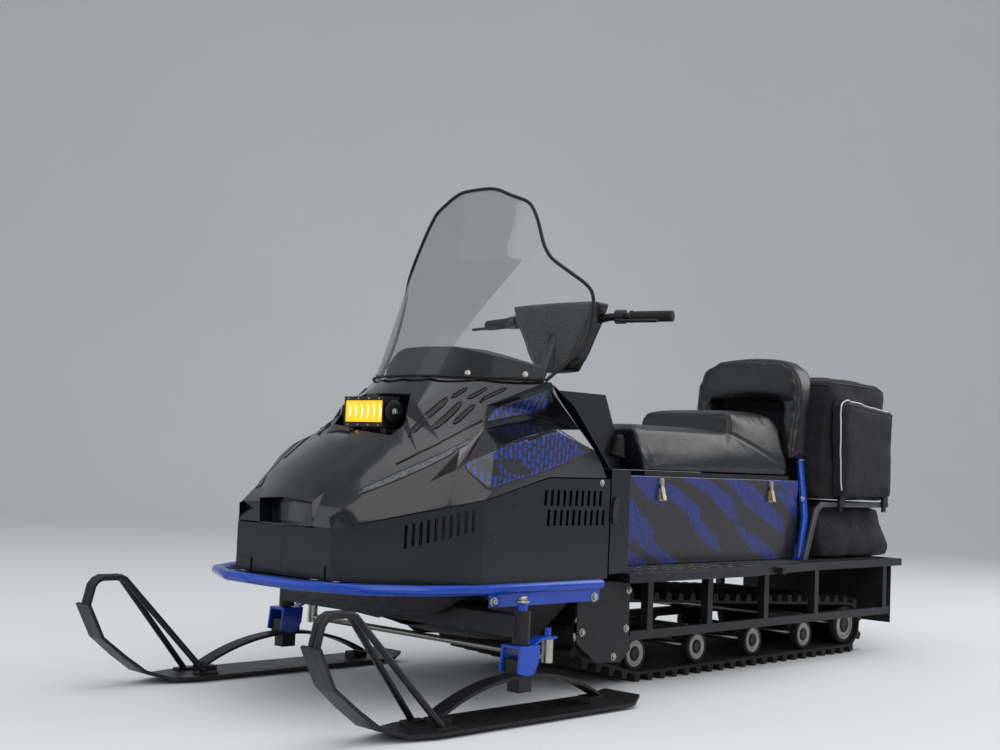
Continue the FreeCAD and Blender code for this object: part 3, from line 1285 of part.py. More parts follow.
def spindle_yoke():
    """Kingpin, top plate, cheeks and steering arm in one forging."""
    x, top, plate, half = size("spindle_x"), size("yoke_top"), size("yoke_plate"), size("yoke_half")
    kingpin = rod((x, 0, top - 2), (x, 0, size("housing_high") + 20), size("spindle_radius"))
    cover = block((x - 34, -half, top - plate), (x + 34, half, top))
    cheeks = [strip([(x - 34, y, top - plate), (x + 34, y, top - plate), (x + 40, y, 112), (x + 12, y, 104), (x - 12, y, 104),
                     (x - 30, y, 130)], (0, plate, 0)) for y in (-half, half - plate)]
    arm = strip([(x - 30, -14, top - plate), (x - 30, -14, top), (x - 62, -14, top + 14), (x - 112, -14, top + 14),
                 (x - 112, -14, top + 14 - plate), (x - 62, -14, top + 14 - plate)], (0, 28, 0))
    bolt = bar((size("tie_x"), 0, top + 10), (size("tie_x"), 0, top + 34), 8, 12)
    return fuse([kingpin, cover, arm, bolt] + cheeks)


def ski_spring():
    """Leaf spring with its clamp between the yoke's cheeks and the rubber stop below."""
    x, plate, half = size("spindle_x"), size("yoke_plate"), size("yoke_half")
    crown, thick = size("spring_crown"), size("spring_thick")
    inner = half - plate - size("seat_gap")
    clamp = block((x - 30, -inner, crown - 2), (x + 30, inner, crown + 34))
    stop = block((x - 22, -18, crown - thick - 34), (x + 22, 18, crown - thick + 2))
    return fuse([leaf_spring(), clamp, stop])


def build_ski_beam():
    """Square beam across the belly with a spindle housing at each end and two engine rails."""
    x, stance = size("spindle_x"), size("stance_half")
    low, high = size("housing_low"), size("housing_high")
    outer, bore = size("housing_radius"), size("spindle_radius") + 0.1
    beam = block((x - 25, -stance, size("beam_low")), (x + 25, stance, size("beam_top")))
    pieces = [beam]
    for s in (1, -1):
        front, top = size("deck_front + seat_gap"), size("beam_top")
        rail = ((x - 24, top - 26), (x - 24, top), (front + 22, top), (front + 16, top + 44), (front + 16, size("deck_top")),
                (front, size("deck_top")), (front, top + 22), (front + 8, top), (front + 26, top - 18), (front + 42, top - 26))
        pieces.append(strip([(along, s * 130 - 15, height) for along, height in rail], (0, 30, 0)))
        pieces.append(bar((x, s * stance, low), (x, s * stance, high), outer, 20))
    whole = fuse(pieces)
    for s in (1, -1):
        whole = whole.cut(rod((x, s * stance, low - 5), (x, s * stance, high + 5), bore))
    new_feature("ski_beam", whole)
    tie_x, tie_z, tie_r = size("tie_x"), size("tie_z"), size("tie_radius")
    rod_pieces = [bar((tie_x, -stance, tie_z), (tie_x, stance, tie_z), tie_r)]
    for s in (1, -1):
        end_high = size("yoke_top") + 8 - size("seat_gap")
        rod_pieces.append(bar((tie_x, s * stance, tie_z - 14), (tie_x, s * stance, end_high), 14))
    new_feature("tie_rod", fuse(rod_pieces))


def bonnet_hinges():
    """Fixed and moving leaves of the hinges under the nose."""
    gap = size("seat_gap")
    x, z, pin = size("hinge_x"), size("hinge_z"), size("hinge_pin")
    front = size("nose_x") + gap
    fixed, moving = [], []
    for s in (1, -1):
        y = s * 140
        knuckle = bar((x, y - 24, z), (x, y - 1, z), pin + 3.5, 12)
        foot = block((1084.8, y - 24, z - 7), (x, y - 1, z - 2))
        fixed.append(fuse([knuckle, foot, rod((x, y - 2, z), (x, y + 22, z), pin)]))
        plate = block((front, y - 22, z + 14), (front + 3, y + 22, z + 40))
        leaf = block((front, y, z), (front + 3, y + 22, z + 20))
        moving.append(fuse([plate, leaf, bar((x, y, z), (x, y + 22, z), pin + 3.5, 12)]).cut(
            rod((x, y - 1, z), (x, y + 24, z), pin + 0.05)))
    return fixed, Part.makeCompound(moving)


def seat_hinges():
    """Fixed and moving leaves of the hinges along the storage box's right rim."""
    y, z, pin = -size("lid_pin_y"), size("lid_pin_z"), 3
    wall = -size("box_half") - size("seat_gap")
    fixed, moving = [], []
    for x in (-620, -160):
        knuckle = bar((x - 34, y, z), (x - 1, y, z), pin + 3, 12)
        leaf = block((x - 34, wall - 3, z - 40), (x - 1, wall, z))
        fixed.append(fuse([knuckle, leaf, rod((x - 2, y, z), (x + 34, y, z), pin)]))
        lid = block((x, wall - 3, z), (x + 34, wall, z + 6.3))
        moving.append(fuse([bar((x, y, z), (x + 34, y, z), pin + 3, 12), lid]).cut(
            rod((x - 1, y, z), (x + 36, y, z), pin + 0.05)))
    return fixed, Part.makeCompound(moving)


def build_fixed_hinges():
    new_feature("fixed_hinges", Part.makeCompound(bonnet_hinges()[0] + seat_hinges()[0]))


def build_latches():
    """Toggle latches of the storage box and rubber straps that hold the bonnet's rear edge."""
    gap = size("seat_gap")
    wall = size("box_half") + gap
    toggles = []
    for x in (-86, -660):
        keeper = block((x - 9, wall, 548), (x + 9, wall + 6, 566))
        base = block((x - 10, wall, 500), (x + 10, wall + 4, 536))
        loop = block((x - 6, wall + 3, 510), (x + 6, wall + 9, 562))
        handle = strip([(x - 8, wall + 9, 512), (x - 8, wall + 16, 500), (x - 8, wall + 19, 503), (x - 8, wall + 9, 540)],
                       (16, 0, 0))
        toggles.append(fuse([keeper, base, loop, handle]))
    y = size("side_half") + gap
    straps = []
    for _, side in SIDES:
        outline = ((324, 512), (336, 516), (346, 504), (350, 470), (346, 448), (330, 446), (332, 470), (326, 500))
        strap = strip([(x, y, z) for x, z in outline], (0, 7, 0))
        straps.append(mirror_side(strap, side))
    new_feature("latches", Part.makeCompound(toggles + straps))


def build_pod():
    """Instrument fairing on the hood behind the windscreen."""
    foot = 800 + size("seat_gap")
    arch = ((-318, foot), (-300, foot + 36), (-250, foot + 51), (-150, foot + 75), (-90, foot + 87), (90, foot + 87),
            (150, foot + 75), (250, foot + 51), (300, foot + 36), (318, foot))
    dome = strip([(533, y, z) for y, z in arch], (200, 0, 0))
    plan = ((532, -300), (538, -296), (576, -250), (648, -128), (676, 0), (648, 128), (576, 250), (538, 296), (532, 300))
    new_feature("dash_pod", dome.common(strip([(x, y, foot - 1) for x, y in plan], (0, 0, 120))))


def build_tail_lamp():
    box_part("tail_lamp", ("bag_rear - 14", "-60", "deck_top + 90"), ("bag_rear - seat_gap", "60", "deck_top + 140"))


for build in (build_track, build_wheels, build_sprockets, build_axles, build_slide_beams, build_tunnel,
              build_side_frames, build_flap, build_tow_bar, build_seat_box, build_seat, build_bolster, build_backrest,
              build_rack, build_bags, build_cowls, build_hood, build_windscreen, build_lamp, build_pod, build_belly,
              build_engine, build_bumper, build_flanks, build_tower, build_steering, build_skis, build_ski_beam,
              build_fixed_hinges, build_latches, build_tail_lamp):
    build()

doc.recompute()
for item in doc.Objects:
    if "Invalid" in item.State or "Error" in item.State:
        raise RuntimeError("%s did not build" % item.Label)
os.makedirs("parts", exist_ok=True)
for item in parts:
    shape = item.Shape
    if shape.isNull() or not shape.isValid() or not shape.Solids:
        raise RuntimeError("%s has no valid solid" % item.Label)
for item in parts:
    item.Shape.exportStep("parts/%s.step" % item.Label)
    box = item.Shape.BoundBox
    print("%-18s solids %2d  x %7.1f %7.1f  y %7.1f %7.1f  z %7.1f %7.1f" % (
        item.Label, len(item.Shape.Solids), box.XMin, box.XMax, box.YMin, box.YMax, box.ZMin, box.ZMax))
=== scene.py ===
import math

import bmesh
import bpy
import numpy as np
from mathutils import Matrix, Vector
from mathutils.bvhtree import BVHTree
from mathutils.noise import noise as noise_at


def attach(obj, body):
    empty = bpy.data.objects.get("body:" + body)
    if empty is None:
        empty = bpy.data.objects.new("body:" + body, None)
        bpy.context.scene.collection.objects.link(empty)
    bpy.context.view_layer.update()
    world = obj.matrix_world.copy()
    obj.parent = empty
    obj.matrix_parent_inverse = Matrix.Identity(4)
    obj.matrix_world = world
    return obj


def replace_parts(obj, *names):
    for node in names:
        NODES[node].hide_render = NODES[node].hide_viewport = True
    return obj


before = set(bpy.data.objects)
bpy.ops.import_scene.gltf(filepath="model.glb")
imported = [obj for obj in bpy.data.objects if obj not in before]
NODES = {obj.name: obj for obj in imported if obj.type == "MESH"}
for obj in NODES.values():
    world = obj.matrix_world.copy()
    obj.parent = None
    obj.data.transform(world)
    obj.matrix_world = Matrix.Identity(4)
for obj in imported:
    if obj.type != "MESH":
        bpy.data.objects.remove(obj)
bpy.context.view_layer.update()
MM = 0.001


def new_object(name, data):
    obj = bpy.data.objects.new(name, data)
    bpy.context.scene.collection.objects.link(obj)
    return obj


def shade(data, smooth=True):
    for polygon in data.polygons:
        polygon.use_smooth = smooth


# Camera of the photograph, in the frame of the CAD model: metres and degrees

CAMERA_PLACE = (3.1661, 2.6655, 0.5990)
CAMERA_YAW, CAMERA_PITCH, CAMERA_ROLL = 223.7606, 3.4828, 2.3116
CAMERA_LENS = 50.341


def make_camera():
    yaw, pitch, roll = (math.radians(a) for a in (CAMERA_YAW, CAMERA_PITCH, CAMERA_ROLL))
    ahead = Vector((math.cos(yaw) * math.cos(pitch), math.sin(yaw) * math.cos(pitch), math.sin(pitch)))
    right = Vector((math.sin(yaw), -math.cos(yaw), 0))
    up = right.cross(ahead)
    right, up = right * math.cos(roll) + up * math.sin(roll), up * math.cos(roll) - right * math.sin(roll)
    data = bpy.data.cameras.new("camera")
    data.lens, data.sensor_width = CAMERA_LENS, 36
    data.clip_start, data.clip_end = 0.05, 100
    camera = new_object("camera", data)
    camera.matrix_world = Matrix.Translation(CAMERA_PLACE) @ Matrix((right, up, -ahead)).transposed().to_4x4()
    bpy.context.scene.camera = camera


make_camera()


# Materials

class Look:
    """A material's node tree, with short names for the nodes that it is made of."""

    def __init__(self, name):
        self.material = bpy.data.materials.new(name)
        self.material.use_nodes = True
        self.nodes, self.links = self.material.node_tree.nodes, self.material.node_tree.links
        self.bsdf = self.nodes["Principled BSDF"]

    def feed(self, socket, value):
        """Links an output to the socket, or sets a constant on it."""
        if isinstance(value, bpy.types.NodeSocket):
            self.links.new(value, socket)
        else:
            socket.default_value = (*value, 1) if socket.type == "RGBA" else value

    def set(self, values):
        for name, value in values.items():
            self.feed(self.bsdf.inputs[name], value)

    def add(self, kind, inputs, output, **settings):
        node = self.nodes.new("ShaderNode" + kind)
        for name, value in settings.items():
            setattr(node, name, value)
        for name, value in inputs.items():
            self.feed(node.inputs[name], value)
        return node.outputs[output]

    def place(self, turn=(0, 0, 0), stretch=(1, 1, 1)):
        """Coordinates of the object in metres, turned by degrees. A stretch comes after the turn."""
        kind = "POINT"
        if stretch != (1, 1, 1):
            # this kind of mapping turns first and then divides by the scale, so both are inverted
            kind, turn, stretch = "TEXTURE", [-a for a in turn], [1 / a for a in stretch]
        coordinate = self.nodes.new("ShaderNodeTexCoord").outputs["Object"]
        inputs = {"Rotation": [math.radians(a) for a in turn], "Scale": stretch, "Vector": coordinate}
        return self.add("Mapping", inputs, "Vector", vector_type=kind)

    def noise(self, scale, detail=4, rough=0.55, turn=(0, 0, 0), stretch=(1, 1, 1)):
        inputs = {"Scale": scale, "Detail": detail, "Roughness": rough, "Vector": self.place(turn, stretch)}
        return self.add("TexNoise", inputs, "Fac")

    def cells(self, scale, output="Distance", turn=(0, 0, 0), stretch=(1, 1, 1)):
        inputs = {"Scale": scale, "Vector": self.place(turn, stretch)}
        return self.add("TexVoronoi", inputs, output, distance="EUCLIDEAN")

    def bands(self, period, direction):
        """Parallel stripes a period apart, in metres."""
        inputs = {"Scale": math.pi / 10 / period, "Distortion": 0.0, "Vector": self.place()}
        return self.add("TexWave", inputs, "Fac", bands_direction=direction, wave_profile="SIN")

    def span(self, value, low, high, start=0.3, end=0.7):
        inputs = {"From Min": start, "From Max": end, "To Min": low, "To Max": high, "Value": value}
        return self.add("MapRange", inputs, "Result")

    def maths(self, operation, first, second):
        return self.add("Math", {0: first, 1: second}, "Value", operation=operation)

    def mixed(self, value, first, second):
        """Two colours, or the outputs that carry them, mixed by a value."""
        return self.add("Mix", {"A": first, "B": second, "Factor": value}, "Result", data_type="RGBA")

    def bump(self, height, strength, distance, before=None):
        inputs = {"Strength": strength, "Distance": distance, "Height": height}
        if before:
            inputs["Normal"] = before
        normal = self.add("Bump", inputs, "Normal")
        self.set({"Normal": normal})
        return normal

    def scratches(self, share):
        """Thin scuffs in two directions and small chips, 1 where the surface is worn."""
        def worn(mask, level):
            return self.span(mask, 0, 1, level - share, level + 0.02 - share)

        one = worn(self.noise(9, 6, 0.7, (0, 20, 10), (1, 1, 16)), 0.71)
        two = worn(self.noise(14, 6, 0.7, (0, -50, 30), (14, 1, 1)), 0.72)
        chips = worn(self.noise(150, 3, 0.6), 0.73)
        return self.maths("MAXIMUM", self.maths("MAXIMUM", one, two), chips)


def painted(name, dark, light, rough, spread=0.05, metal=0.0, coat=0.0, worn=None, share=0.0, scale=5,
            grain=700, depth=0.0001, sheen=0.35):
    """Paint or moulded plastic: slow changes of colour and gloss, fine grain, scuffs if worn is a colour."""
    look = Look(name)
    colour = look.mixed(look.span(look.noise(scale, 6), 0, 1), dark, light)
    gloss = look.span(look.noise(scale * 8, 5, 0.7), rough - spread, rough + spread)
    if worn:
        mask = look.scratches(share)
        colour = look.mixed(mask, colour, worn)
        gloss = look.maths("ADD", gloss, look.maths("MULTIPLY", mask, 0.25))
    look.set({"Base Color": colour, "Roughness": gloss, "Metallic": metal,
              "Specular IOR Level": 0.5 if metal else sheen})
    if coat:
        look.set({"Coat Weight": coat, "Coat Roughness": 0.05})
    look.bump(look.noise(grain, 3), 0.4, depth)
    return look.material


def hatched(name, ground, blues, bar_turn, bar, shard_turn, shard_scale, shard_stretch, share):
    """Printed film: bars in two blues, each of (length, width, gap), fill shards on a dark ground."""
    look = Look(name)
    inputs = {"Color1": blues[0], "Color2": blues[1], "Mortar": ground, "Scale": 1.0, "Mortar Smooth": 0.0,
              "Brick Width": bar[0], "Row Height": bar[1], "Mortar Size": bar[2],
              "Vector": look.place(bar_turn)}
    bars = look.add("TexBrick", inputs, "Color", offset=0.5, squash=1.0)
    mask = look.maths("LESS_THAN", look.cells(shard_scale, "Color", shard_turn, shard_stretch), share)
    dark = look.mixed(look.noise(6, 6), ground, tuple(c * 1.5 for c in ground))
    colour = look.mixed(look.scratches(0.0), look.mixed(mask, dark, bars), (0.10, 0.10, 0.11))
    look.set({"Base Color": colour, "Roughness": look.span(look.noise(40, 5), 0.25, 0.39), "Coat Weight": 0.4,
              "Coat Roughness": 0.12})
    look.bump(look.noise(500, 3), 0.3, 0.0001)
    return look.material


def leather():
    look = Look("leather")
    colour = look.mixed(look.span(look.noise(7, 6), 0, 1), (0.004, 0.0045, 0.0055), (0.009, 0.0095, 0.011))
    dust = look.span(look.noise(60, 6, 0.75), 0, 1, 0.68, 0.82)
    look.set({"Base Color": look.mixed(dust, colour, (0.022, 0.022, 0.023)),
              "Roughness": look.span(look.noise(25, 5, 0.7), 0.27, 0.40), "Specular IOR Level": 0.42})
    grain = look.bump(look.cells(420), 0.35, 0.0006)
    look.bump(look.noise(45, 4, 0.6), 0.25, 0.0025, grain)
    return look.material


def woven(name, dark, light):
    look = Look(name)
    thread = 0.0016
    colour = look.mixed(look.span(look.noise(8, 6), 0, 1), dark, light)
    weave = look.maths("MULTIPLY", look.bands(thread, "DIAGONAL"), look.bands(thread, "Z"))
    look.set({"Base Color": look.mixed(weave, colour, tuple(c * 1.4 for c in light)),
              "Roughness": look.span(look.noise(30, 5), 0.72, 0.88), "Specular IOR Level": 0.2,
              "Sheen Weight": 0.06, "Sheen Roughness": 0.5})
    threads = look.bump(weave, 0.5, 0.0006)
    look.bump(look.noise(16, 5, 0.6), 0.4, 0.006, threads)
    return look.material


def meshed():
    """Perforated black strip: small round holes, bumped in and painted near black as the shade inside them.
    """
    look = Look("grille_mesh")
    holes_and_shade = look.span(look.cells(170), 0, 1, 0.25, 0.4)
    look.set({"Base Color": look.mixed(holes_and_shade, (0.002, 0.002, 0.002), (0.10, 0.105, 0.115)),
              "Roughness": look.span(look.noise(60, 4), 0.35, 0.5)})
    look.bump(holes_and_shade, 0.8, 0.0012)
    return look.material


def clear_sheet():
    """Clear plastic sheet: nearly invisible face on, and denser where it is seen along."""
    look = Look("clear_sheet")
    edge = look.add("LayerWeight", {"Blend": 0.36}, "Fresnel")
    haze = look.span(look.noise(5, 6), 0.0, 0.02)
    scuff = look.maths("MULTIPLY", look.scratches(0.01), 0.12)
    veil = look.maths("ADD", look.span(edge, 0.035, 0.45, 0.02, 0.9), haze)
    look.set({"Alpha": look.maths("ADD", veil, scuff),
              "Base Color": look.mixed(look.noise(2, 3), (0.10, 0.115, 0.13), (0.14, 0.155, 0.17)),
              "Roughness": look.span(look.noise(24, 5), 0.03, 0.08), "IOR": 1.49, "Specular IOR Level": 0.9})
    return look.material


# Painted light: the colour is also emitted, so the part looks lit with no lamp inside it
def painted_glow(name, dark, light, strength):
    look = Look(name)
    colour = look.mixed(look.noise(40, 3), dark, light)
    look.set({"Base Color": colour, "Emission Color": colour, "Emission Strength": strength,
              "Roughness": look.span(look.noise(60, 3), 0.1, 0.25)})
    return look.material


def two_sorts(name, first, second, axis, level):
    """Two looks in one material, split by a coordinate: two colours, roughness and metal of both."""
    look = Look(name)
    split = look.add("SeparateXYZ", {"Vector": look.nodes.new("ShaderNodeTexCoord").outputs["Object"]}, axis)
    side = look.maths("GREATER_THAN", split, level)
    wear = look.noise(30, 6)
    rough = look.span(side, first[2], second[2], 0, 1)
    look.set({"Base Color": look.mixed(side, look.mixed(wear, *first[:2]), look.mixed(wear, *second[:2])),
              "Roughness": look.maths("ADD", rough, look.span(look.noise(90, 4), -0.08, 0.08)),
              "Metallic": look.span(side, first[3], second[3], 0, 1)})
    look.bump(look.noise(400, 3), 0.4, 0.0002)
    return look.material


CHIP = (0.11, 0.12, 0.13)
GLOSS_BLACK = painted("gloss_black", (0.003, 0.003, 0.004), (0.005, 0.006, 0.008), rough=0.15, spread=0.04,
                      coat=0.4, worn=CHIP, share=-0.01, scale=3, sheen=0.3)
COWL_PAINT = painted("cowl_paint", (0.004, 0.005, 0.009), (0.007, 0.009, 0.015), rough=0.32, spread=0.06,
                     coat=0.15, worn=CHIP)
FRAME_BLACK = painted("frame_black", (0.005, 0.005, 0.006), (0.011, 0.011, 0.012), rough=0.42, spread=0.1,
                      worn=(0.14, 0.13, 0.12), share=0.02)
VIVID_BLUE = painted("vivid_blue", (0.001, 0.044, 0.36), (0.002, 0.058, 0.46), rough=0.26, coat=0.3,
                     worn=(0.16, 0.19, 0.30), share=0.01)
PLASTIC = painted("plastic", (0.004, 0.004, 0.005), (0.009, 0.009, 0.010), rough=0.44, spread=0.08,
                  grain=900, depth=0.00008)
RUBBER = painted("rubber", (0.006, 0.006, 0.006), (0.013, 0.0125, 0.012), rough=0.70, spread=0.1,
                 worn=(0.045, 0.043, 0.04), share=0.04, grain=1400, depth=0.0004)
ZINC = painted("zinc", (0.34, 0.34, 0.31), (0.56, 0.55, 0.49), rough=0.32, spread=0.08, metal=1.0,
               worn=(0.20, 0.18, 0.15), share=0.03, scale=60)
RACK_STEEL = painted("rack_steel", (0.030, 0.032, 0.036), (0.075, 0.078, 0.085), rough=0.38, spread=0.08,
                     metal=0.3, worn=(0.3, 0.3, 0.3), share=0.04)
ALLOY = painted("alloy", (0.26, 0.26, 0.26), (0.42, 0.42, 0.41), rough=0.45, spread=0.1, metal=0.9, scale=20)
RED_LENS = painted("red_lens", (0.30, 0.004, 0.004), (0.42, 0.008, 0.008), rough=0.14, spread=0.04, coat=0.8)
PIPING = painted("white_piping", (0.55, 0.56, 0.58), (0.70, 0.71, 0.72), rough=0.6, spread=0.08, grain=1200)
BOX_PRINT = hatched("box_print", (0.012, 0.010, 0.014), ((0.006, 0.046, 0.42), (0.005, 0.026, 0.26)),
                    bar_turn=(90, 0, 62), bar=(0.4, 0.0085, 0.0022), shard_turn=(0, 27, 0), shard_scale=4.6,
                    shard_stretch=(1.0, 0.5, 5.0), share=0.46)
PANEL_PRINT = hatched("panel_print", (0.008, 0.009, 0.016), ((0.004, 0.042, 0.36), (0.004, 0.024, 0.20)),
                      bar_turn=(90, 0, 97), bar=(0.030, 0.015, 0.0034), shard_turn=(0, 14, 0), shard_scale=15,
                      shard_stretch=(1.0, 0.5, 2.2), share=0.80)
LEATHER = leather()
FABRIC = woven("fabric", (0.006, 0.006, 0.007), (0.014, 0.014, 0.016))
GRILLE = meshed()
SCREEN = clear_sheet()
# Painted glow on the lamp's amber lens, standing for light reflected inside it
AMBER_PAINTED_GLOW = painted_glow("amber_reflector_painted_glow", (0.85, 0.36, 0.002), (0.95, 0.52, 0.004), 0.85)
# Painted highlights: white-yellow glints on the reflector behind the lens
PAINTED_GLINT = painted_glow("painted_glint_reflector", (1.0, 0.82, 0.22), (1.0, 0.92, 0.5), 2.6)
CATCH = two_sorts("catch_and_strap", ((0.36, 0.33, 0.22), (0.55, 0.51, 0.38), 0.38, 0.8),
                  ((0.006, 0.006, 0.006), (0.016, 0.016, 0.016), 0.6, 0.0), "X", 0.2)

LOOKS = {
    # node: (material, width of the rounded edges in millimetres)
    "track": (RUBBER, 1.2), "track_wheels": (RUBBER, 0), "drive_axle": (ZINC, 0.8),
    "suspension_axles": (ZINC, 0), "slide_beams": (FRAME_BLACK, 1), "tunnel": (FRAME_BLACK, 0),
    "side_frames": (FRAME_BLACK, 1.2), "rear_flap": (RUBBER, 1), "tow_bar": (FRAME_BLACK, 1.2),
    "seat_box": (BOX_PRINT, 4), "seat_base": (PLASTIC, 1), "backrest_hoop": (VIVID_BLUE, 0),
    "rack_frame": (RACK_STEEL, 0), "engine_cowl": (COWL_PAINT, 0.8), "hood": (GLOSS_BLACK, 4),
    "windscreen": (SCREEN, 0), "lamp_lens": (AMBER_PAINTED_GLOW, 0), "lamp_housing": (PLASTIC, 1.2),
    "dash_pod": (PLASTIC, 6), "belly_pan": (FRAME_BLACK, 3), "engine": (ALLOY, 6),
    "bumper": (VIVID_BLUE, 0.8), "flank_panels": (COWL_PAINT, 1.2), "instrument_console": (COWL_PAINT, 2),
    "steering_column": (FRAME_BLACK, 1), "handlebar": (FRAME_BLACK, 0), "ski_left": (FRAME_BLACK, 1.5),
    "ski_spring_left": (FRAME_BLACK, 0.8), "ski_yoke_left": (VIVID_BLUE, 1.2),
    "ski_right": (FRAME_BLACK, 1.5), "ski_spring_right": (FRAME_BLACK, 0.8),
    "ski_yoke_right": (VIVID_BLUE, 1.2), "ski_beam": (FRAME_BLACK, 1.2), "tie_rod": (ZINC, 0.8),
    "fixed_hinges": (FRAME_BLACK, 0.5), "latches": (CATCH, 0.6), "tail_lamp": (RED_LENS, 3),
}


# Shading of the frame's nodes: joined edges, small rounds on the sharp ones

def smooth_group(limit):
    """Geometry nodes that join split edges and shade smooth across edges flatter than limit degrees."""
    group = bpy.data.node_groups.new("joined_and_smooth_%d" % limit, "GeometryNodeTree")
    group.interface.new_socket("Geometry", in_out="INPUT", socket_type="NodeSocketGeometry")
    group.interface.new_socket("Geometry", in_out="OUTPUT", socket_type="NodeSocketGeometry")
    nodes, links = group.nodes, group.links
    source, target = nodes.new("NodeGroupInput"), nodes.new("NodeGroupOutput")
    bare = nodes.new("GeometryNodeRemoveAttribute")
    bare.inputs["Name"].default_value = "custom_normal"
    merge = nodes.new("GeometryNodeMergeByDistance")
    merge.inputs["Distance"].default_value = 0.02 * MM
    faces = nodes.new("GeometryNodeSetShadeSmooth")
    edges = nodes.new("GeometryNodeSetShadeSmooth")
    edges.domain = "EDGE"
    angle = nodes.new("GeometryNodeInputMeshEdgeAngle")
    flat = nodes.new("FunctionNodeCompare")
    flat.operation = "LESS_EQUAL"
    flat.inputs["B"].default_value = math.radians(limit)
    links.new(source.outputs[0], bare.inputs["Geometry"])
    links.new(bare.outputs[0], merge.inputs["Geometry"])
    links.new(merge.outputs[0], faces.inputs["Geometry"])
    links.new(faces.outputs[0], edges.inputs["Geometry"])
    links.new(angle.outputs["Unsigned Angle"], flat.inputs["A"])
    links.new(flat.outputs[0], edges.inputs["Shade Smooth"])
    links.new(edges.outputs[0], target.inputs[0])
    return group


# Degrees from which an edge counts as sharp, and the bent nodes that have the wider limit
SHARP, SHARP_BENT = 24, 42
SMOOTH = {limit: smooth_group(limit) for limit in (SHARP, SHARP_BENT)}
BENT = ("ski_left", "ski_right", "bumper", "ski_spring_left", "ski_spring_right")


def finish_edges(obj, width, limit):
    """Rounds the edges sharper than the limit by a width in millimetres and shades the rest smooth."""
    obj.modifiers.new("join", "NODES").node_group = SMOOTH[limit]
    if width:
        flat = obj.modifiers.new("flats", "DECIMATE")
        flat.decimate_type, flat.angle_limit = "DISSOLVE", math.radians(0.4)
        bevel = obj.modifiers.new("rounds", "BEVEL")
        bevel.width, bevel.segments, bevel.limit_method = width * MM, 3, "ANGLE"
        bevel.angle_limit, bevel.harden_normals = math.radians(limit), True


for name, (material, width) in LOOKS.items():
    node = NODES[name]
    node.data.materials.clear()
    node.data.materials.append(material)
    finish_edges(node, width, SHARP_BENT if name in BENT else SHARP)


# Building blocks, all in millimetres

class Build:
    """Collects the points and faces of one piece."""

    def __init__(self):
        self.points, self.faces = [], []

    def rings(self, rings, closed=False, caps=True):
        """Joins equal rings of points in a row, and closes the ends with a cap or to a loop."""
        start, count = len(self.points), len(rings[0])
        for ring in rings:
            self.points.extend(ring)
        last = len(rings) if closed else len(rings) - 1
        for row in range(last):
            low, high = start + row * count, start + (row + 1) % len(rings) * count
            for i in range(count):
                j = (i + 1) % count
                self.faces.append((low + i, low + j, high + j, high + i))
        if caps and not closed:
            self.faces.append(tuple(range(start, start + count))[::-1])
            self.faces.append(tuple(range(start + (len(rings) - 1) * count, start + len(rings) * count)))

    def piece(self, name, material, body, slot, smooth=True):
        data = bpy.data.meshes.new(name)
        data.from_pydata([Vector(p) * MM for p in self.points], [], self.faces)
        data.validate()
        work = bmesh.new()
        work.from_mesh(data)
        bmesh.ops.recalc_face_normals(work, faces=work.faces)
        work.to_mesh(data)
        work.free()
        data.materials.append(material)
        shade(data, smooth)
        obj = new_object(name, data)
        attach(obj, body)
        return obj


def frame_of(direction):
    """Three axes at right angles, the first along the direction."""
    ahead = Vector(direction).normalized()
    side = ahead.cross(Vector((0, 0, 1)) if abs(ahead.z) < 0.9 else Vector((1, 0, 0))).normalized()
    return ahead, side, side.cross(ahead)


def smooth_line(points, steps=6, closed=False):
    """Points along a smooth curve through the given ones."""
    points = [Vector(p) for p in points]
    count, line = len(points), []
    for i in range(count if closed else count - 1):
        if closed:
            a, b, c, d = (points[(i + k) % count] for k in (-1, 0, 1, 2))
        else:
            b, c = points[i], points[i + 1]
            a, d = points[i - 1] if i else b * 2 - c, points[i + 2] if i + 2 < count else c * 2 - b
        for step in range(steps):
            t = step / steps
            line.append(0.5 * (2 * b + (c - a) * t + (2 * a - 5 * b + 4 * c - d) * t * t
                               + (3 * b - a - 3 * c + d) * t ** 3))
    return line if closed else line + [points[-1]]


def tube_rings(line, radius, sides=10, closed=False):
    """Rings of a round tube along a line."""
    rings, side = [], None
    for i, point in enumerate(line):
        before = line[i - 1] if i or closed else point
        after = line[(i + 1) % len(line)] if closed or i + 1 < len(line) else point
        ahead = (after - before).normalized()
        side = frame_of(ahead)[1] if side is None else (side - ahead * side.dot(ahead)).normalized()
        up = ahead.cross(side)
        rings.append([point + side * (radius * math.cos(2 * math.pi * k / sides))
                      + up * (radius * math.sin(2 * math.pi * k / sides)) for k in range(sides)])
    return rings


def turned_rings(centre, direction, profile, sides=24, flats=0):
    """Rings round an axis from (radius, distance along it) pairs. Flats makes the rings of a bolt's head."""
    ahead, side, up = frame_of(direction)
    rings = []
    for radius, reach in profile:
        ring = []
        for k in range(sides):
            angle = 2 * math.pi * k / sides
            r = radius
            if flats:
                part = (angle % (2 * math.pi / flats)) - math.pi / flats
                r = radius * math.cos(math.pi / flats) / math.cos(part)
            around = side * (r * math.cos(angle)) + up * (r * math.sin(angle))
            ring.append(Vector(centre) + ahead * reach + around)
        rings.append(ring)
    return rings


def add_bolt(build, centre, normal, radius):
    """A washer and a six-sided head with a hollow."""
    washer = ((radius * 1.5, -1.5), (radius * 1.5, 0.8), (radius * 1.4, 1.4), (radius * 0.9, 1.5))
    build.rings(turned_rings(centre, normal, washer, 24))
    head = ((radius, 1.2), (radius, radius * 0.75), (radius * 0.86, radius * 0.92),
            (radius * 0.45, radius * 0.95), (radius * 0.3, radius * 0.8))
    build.rings(turned_rings(centre, normal, head, 24, 6))


def tree_of(data):
    points, polygons = [v.co.copy() for v in data.vertices], [tuple(p.vertices) for p in data.polygons]
    return BVHTree.FromPolygons(points, polygons)


# A point inside the hood, and how far outside of the skin a ray starts, in metres
HOOD_INSIDE, RAY_START = Vector((0.3, 0, 0.3)), 0.02


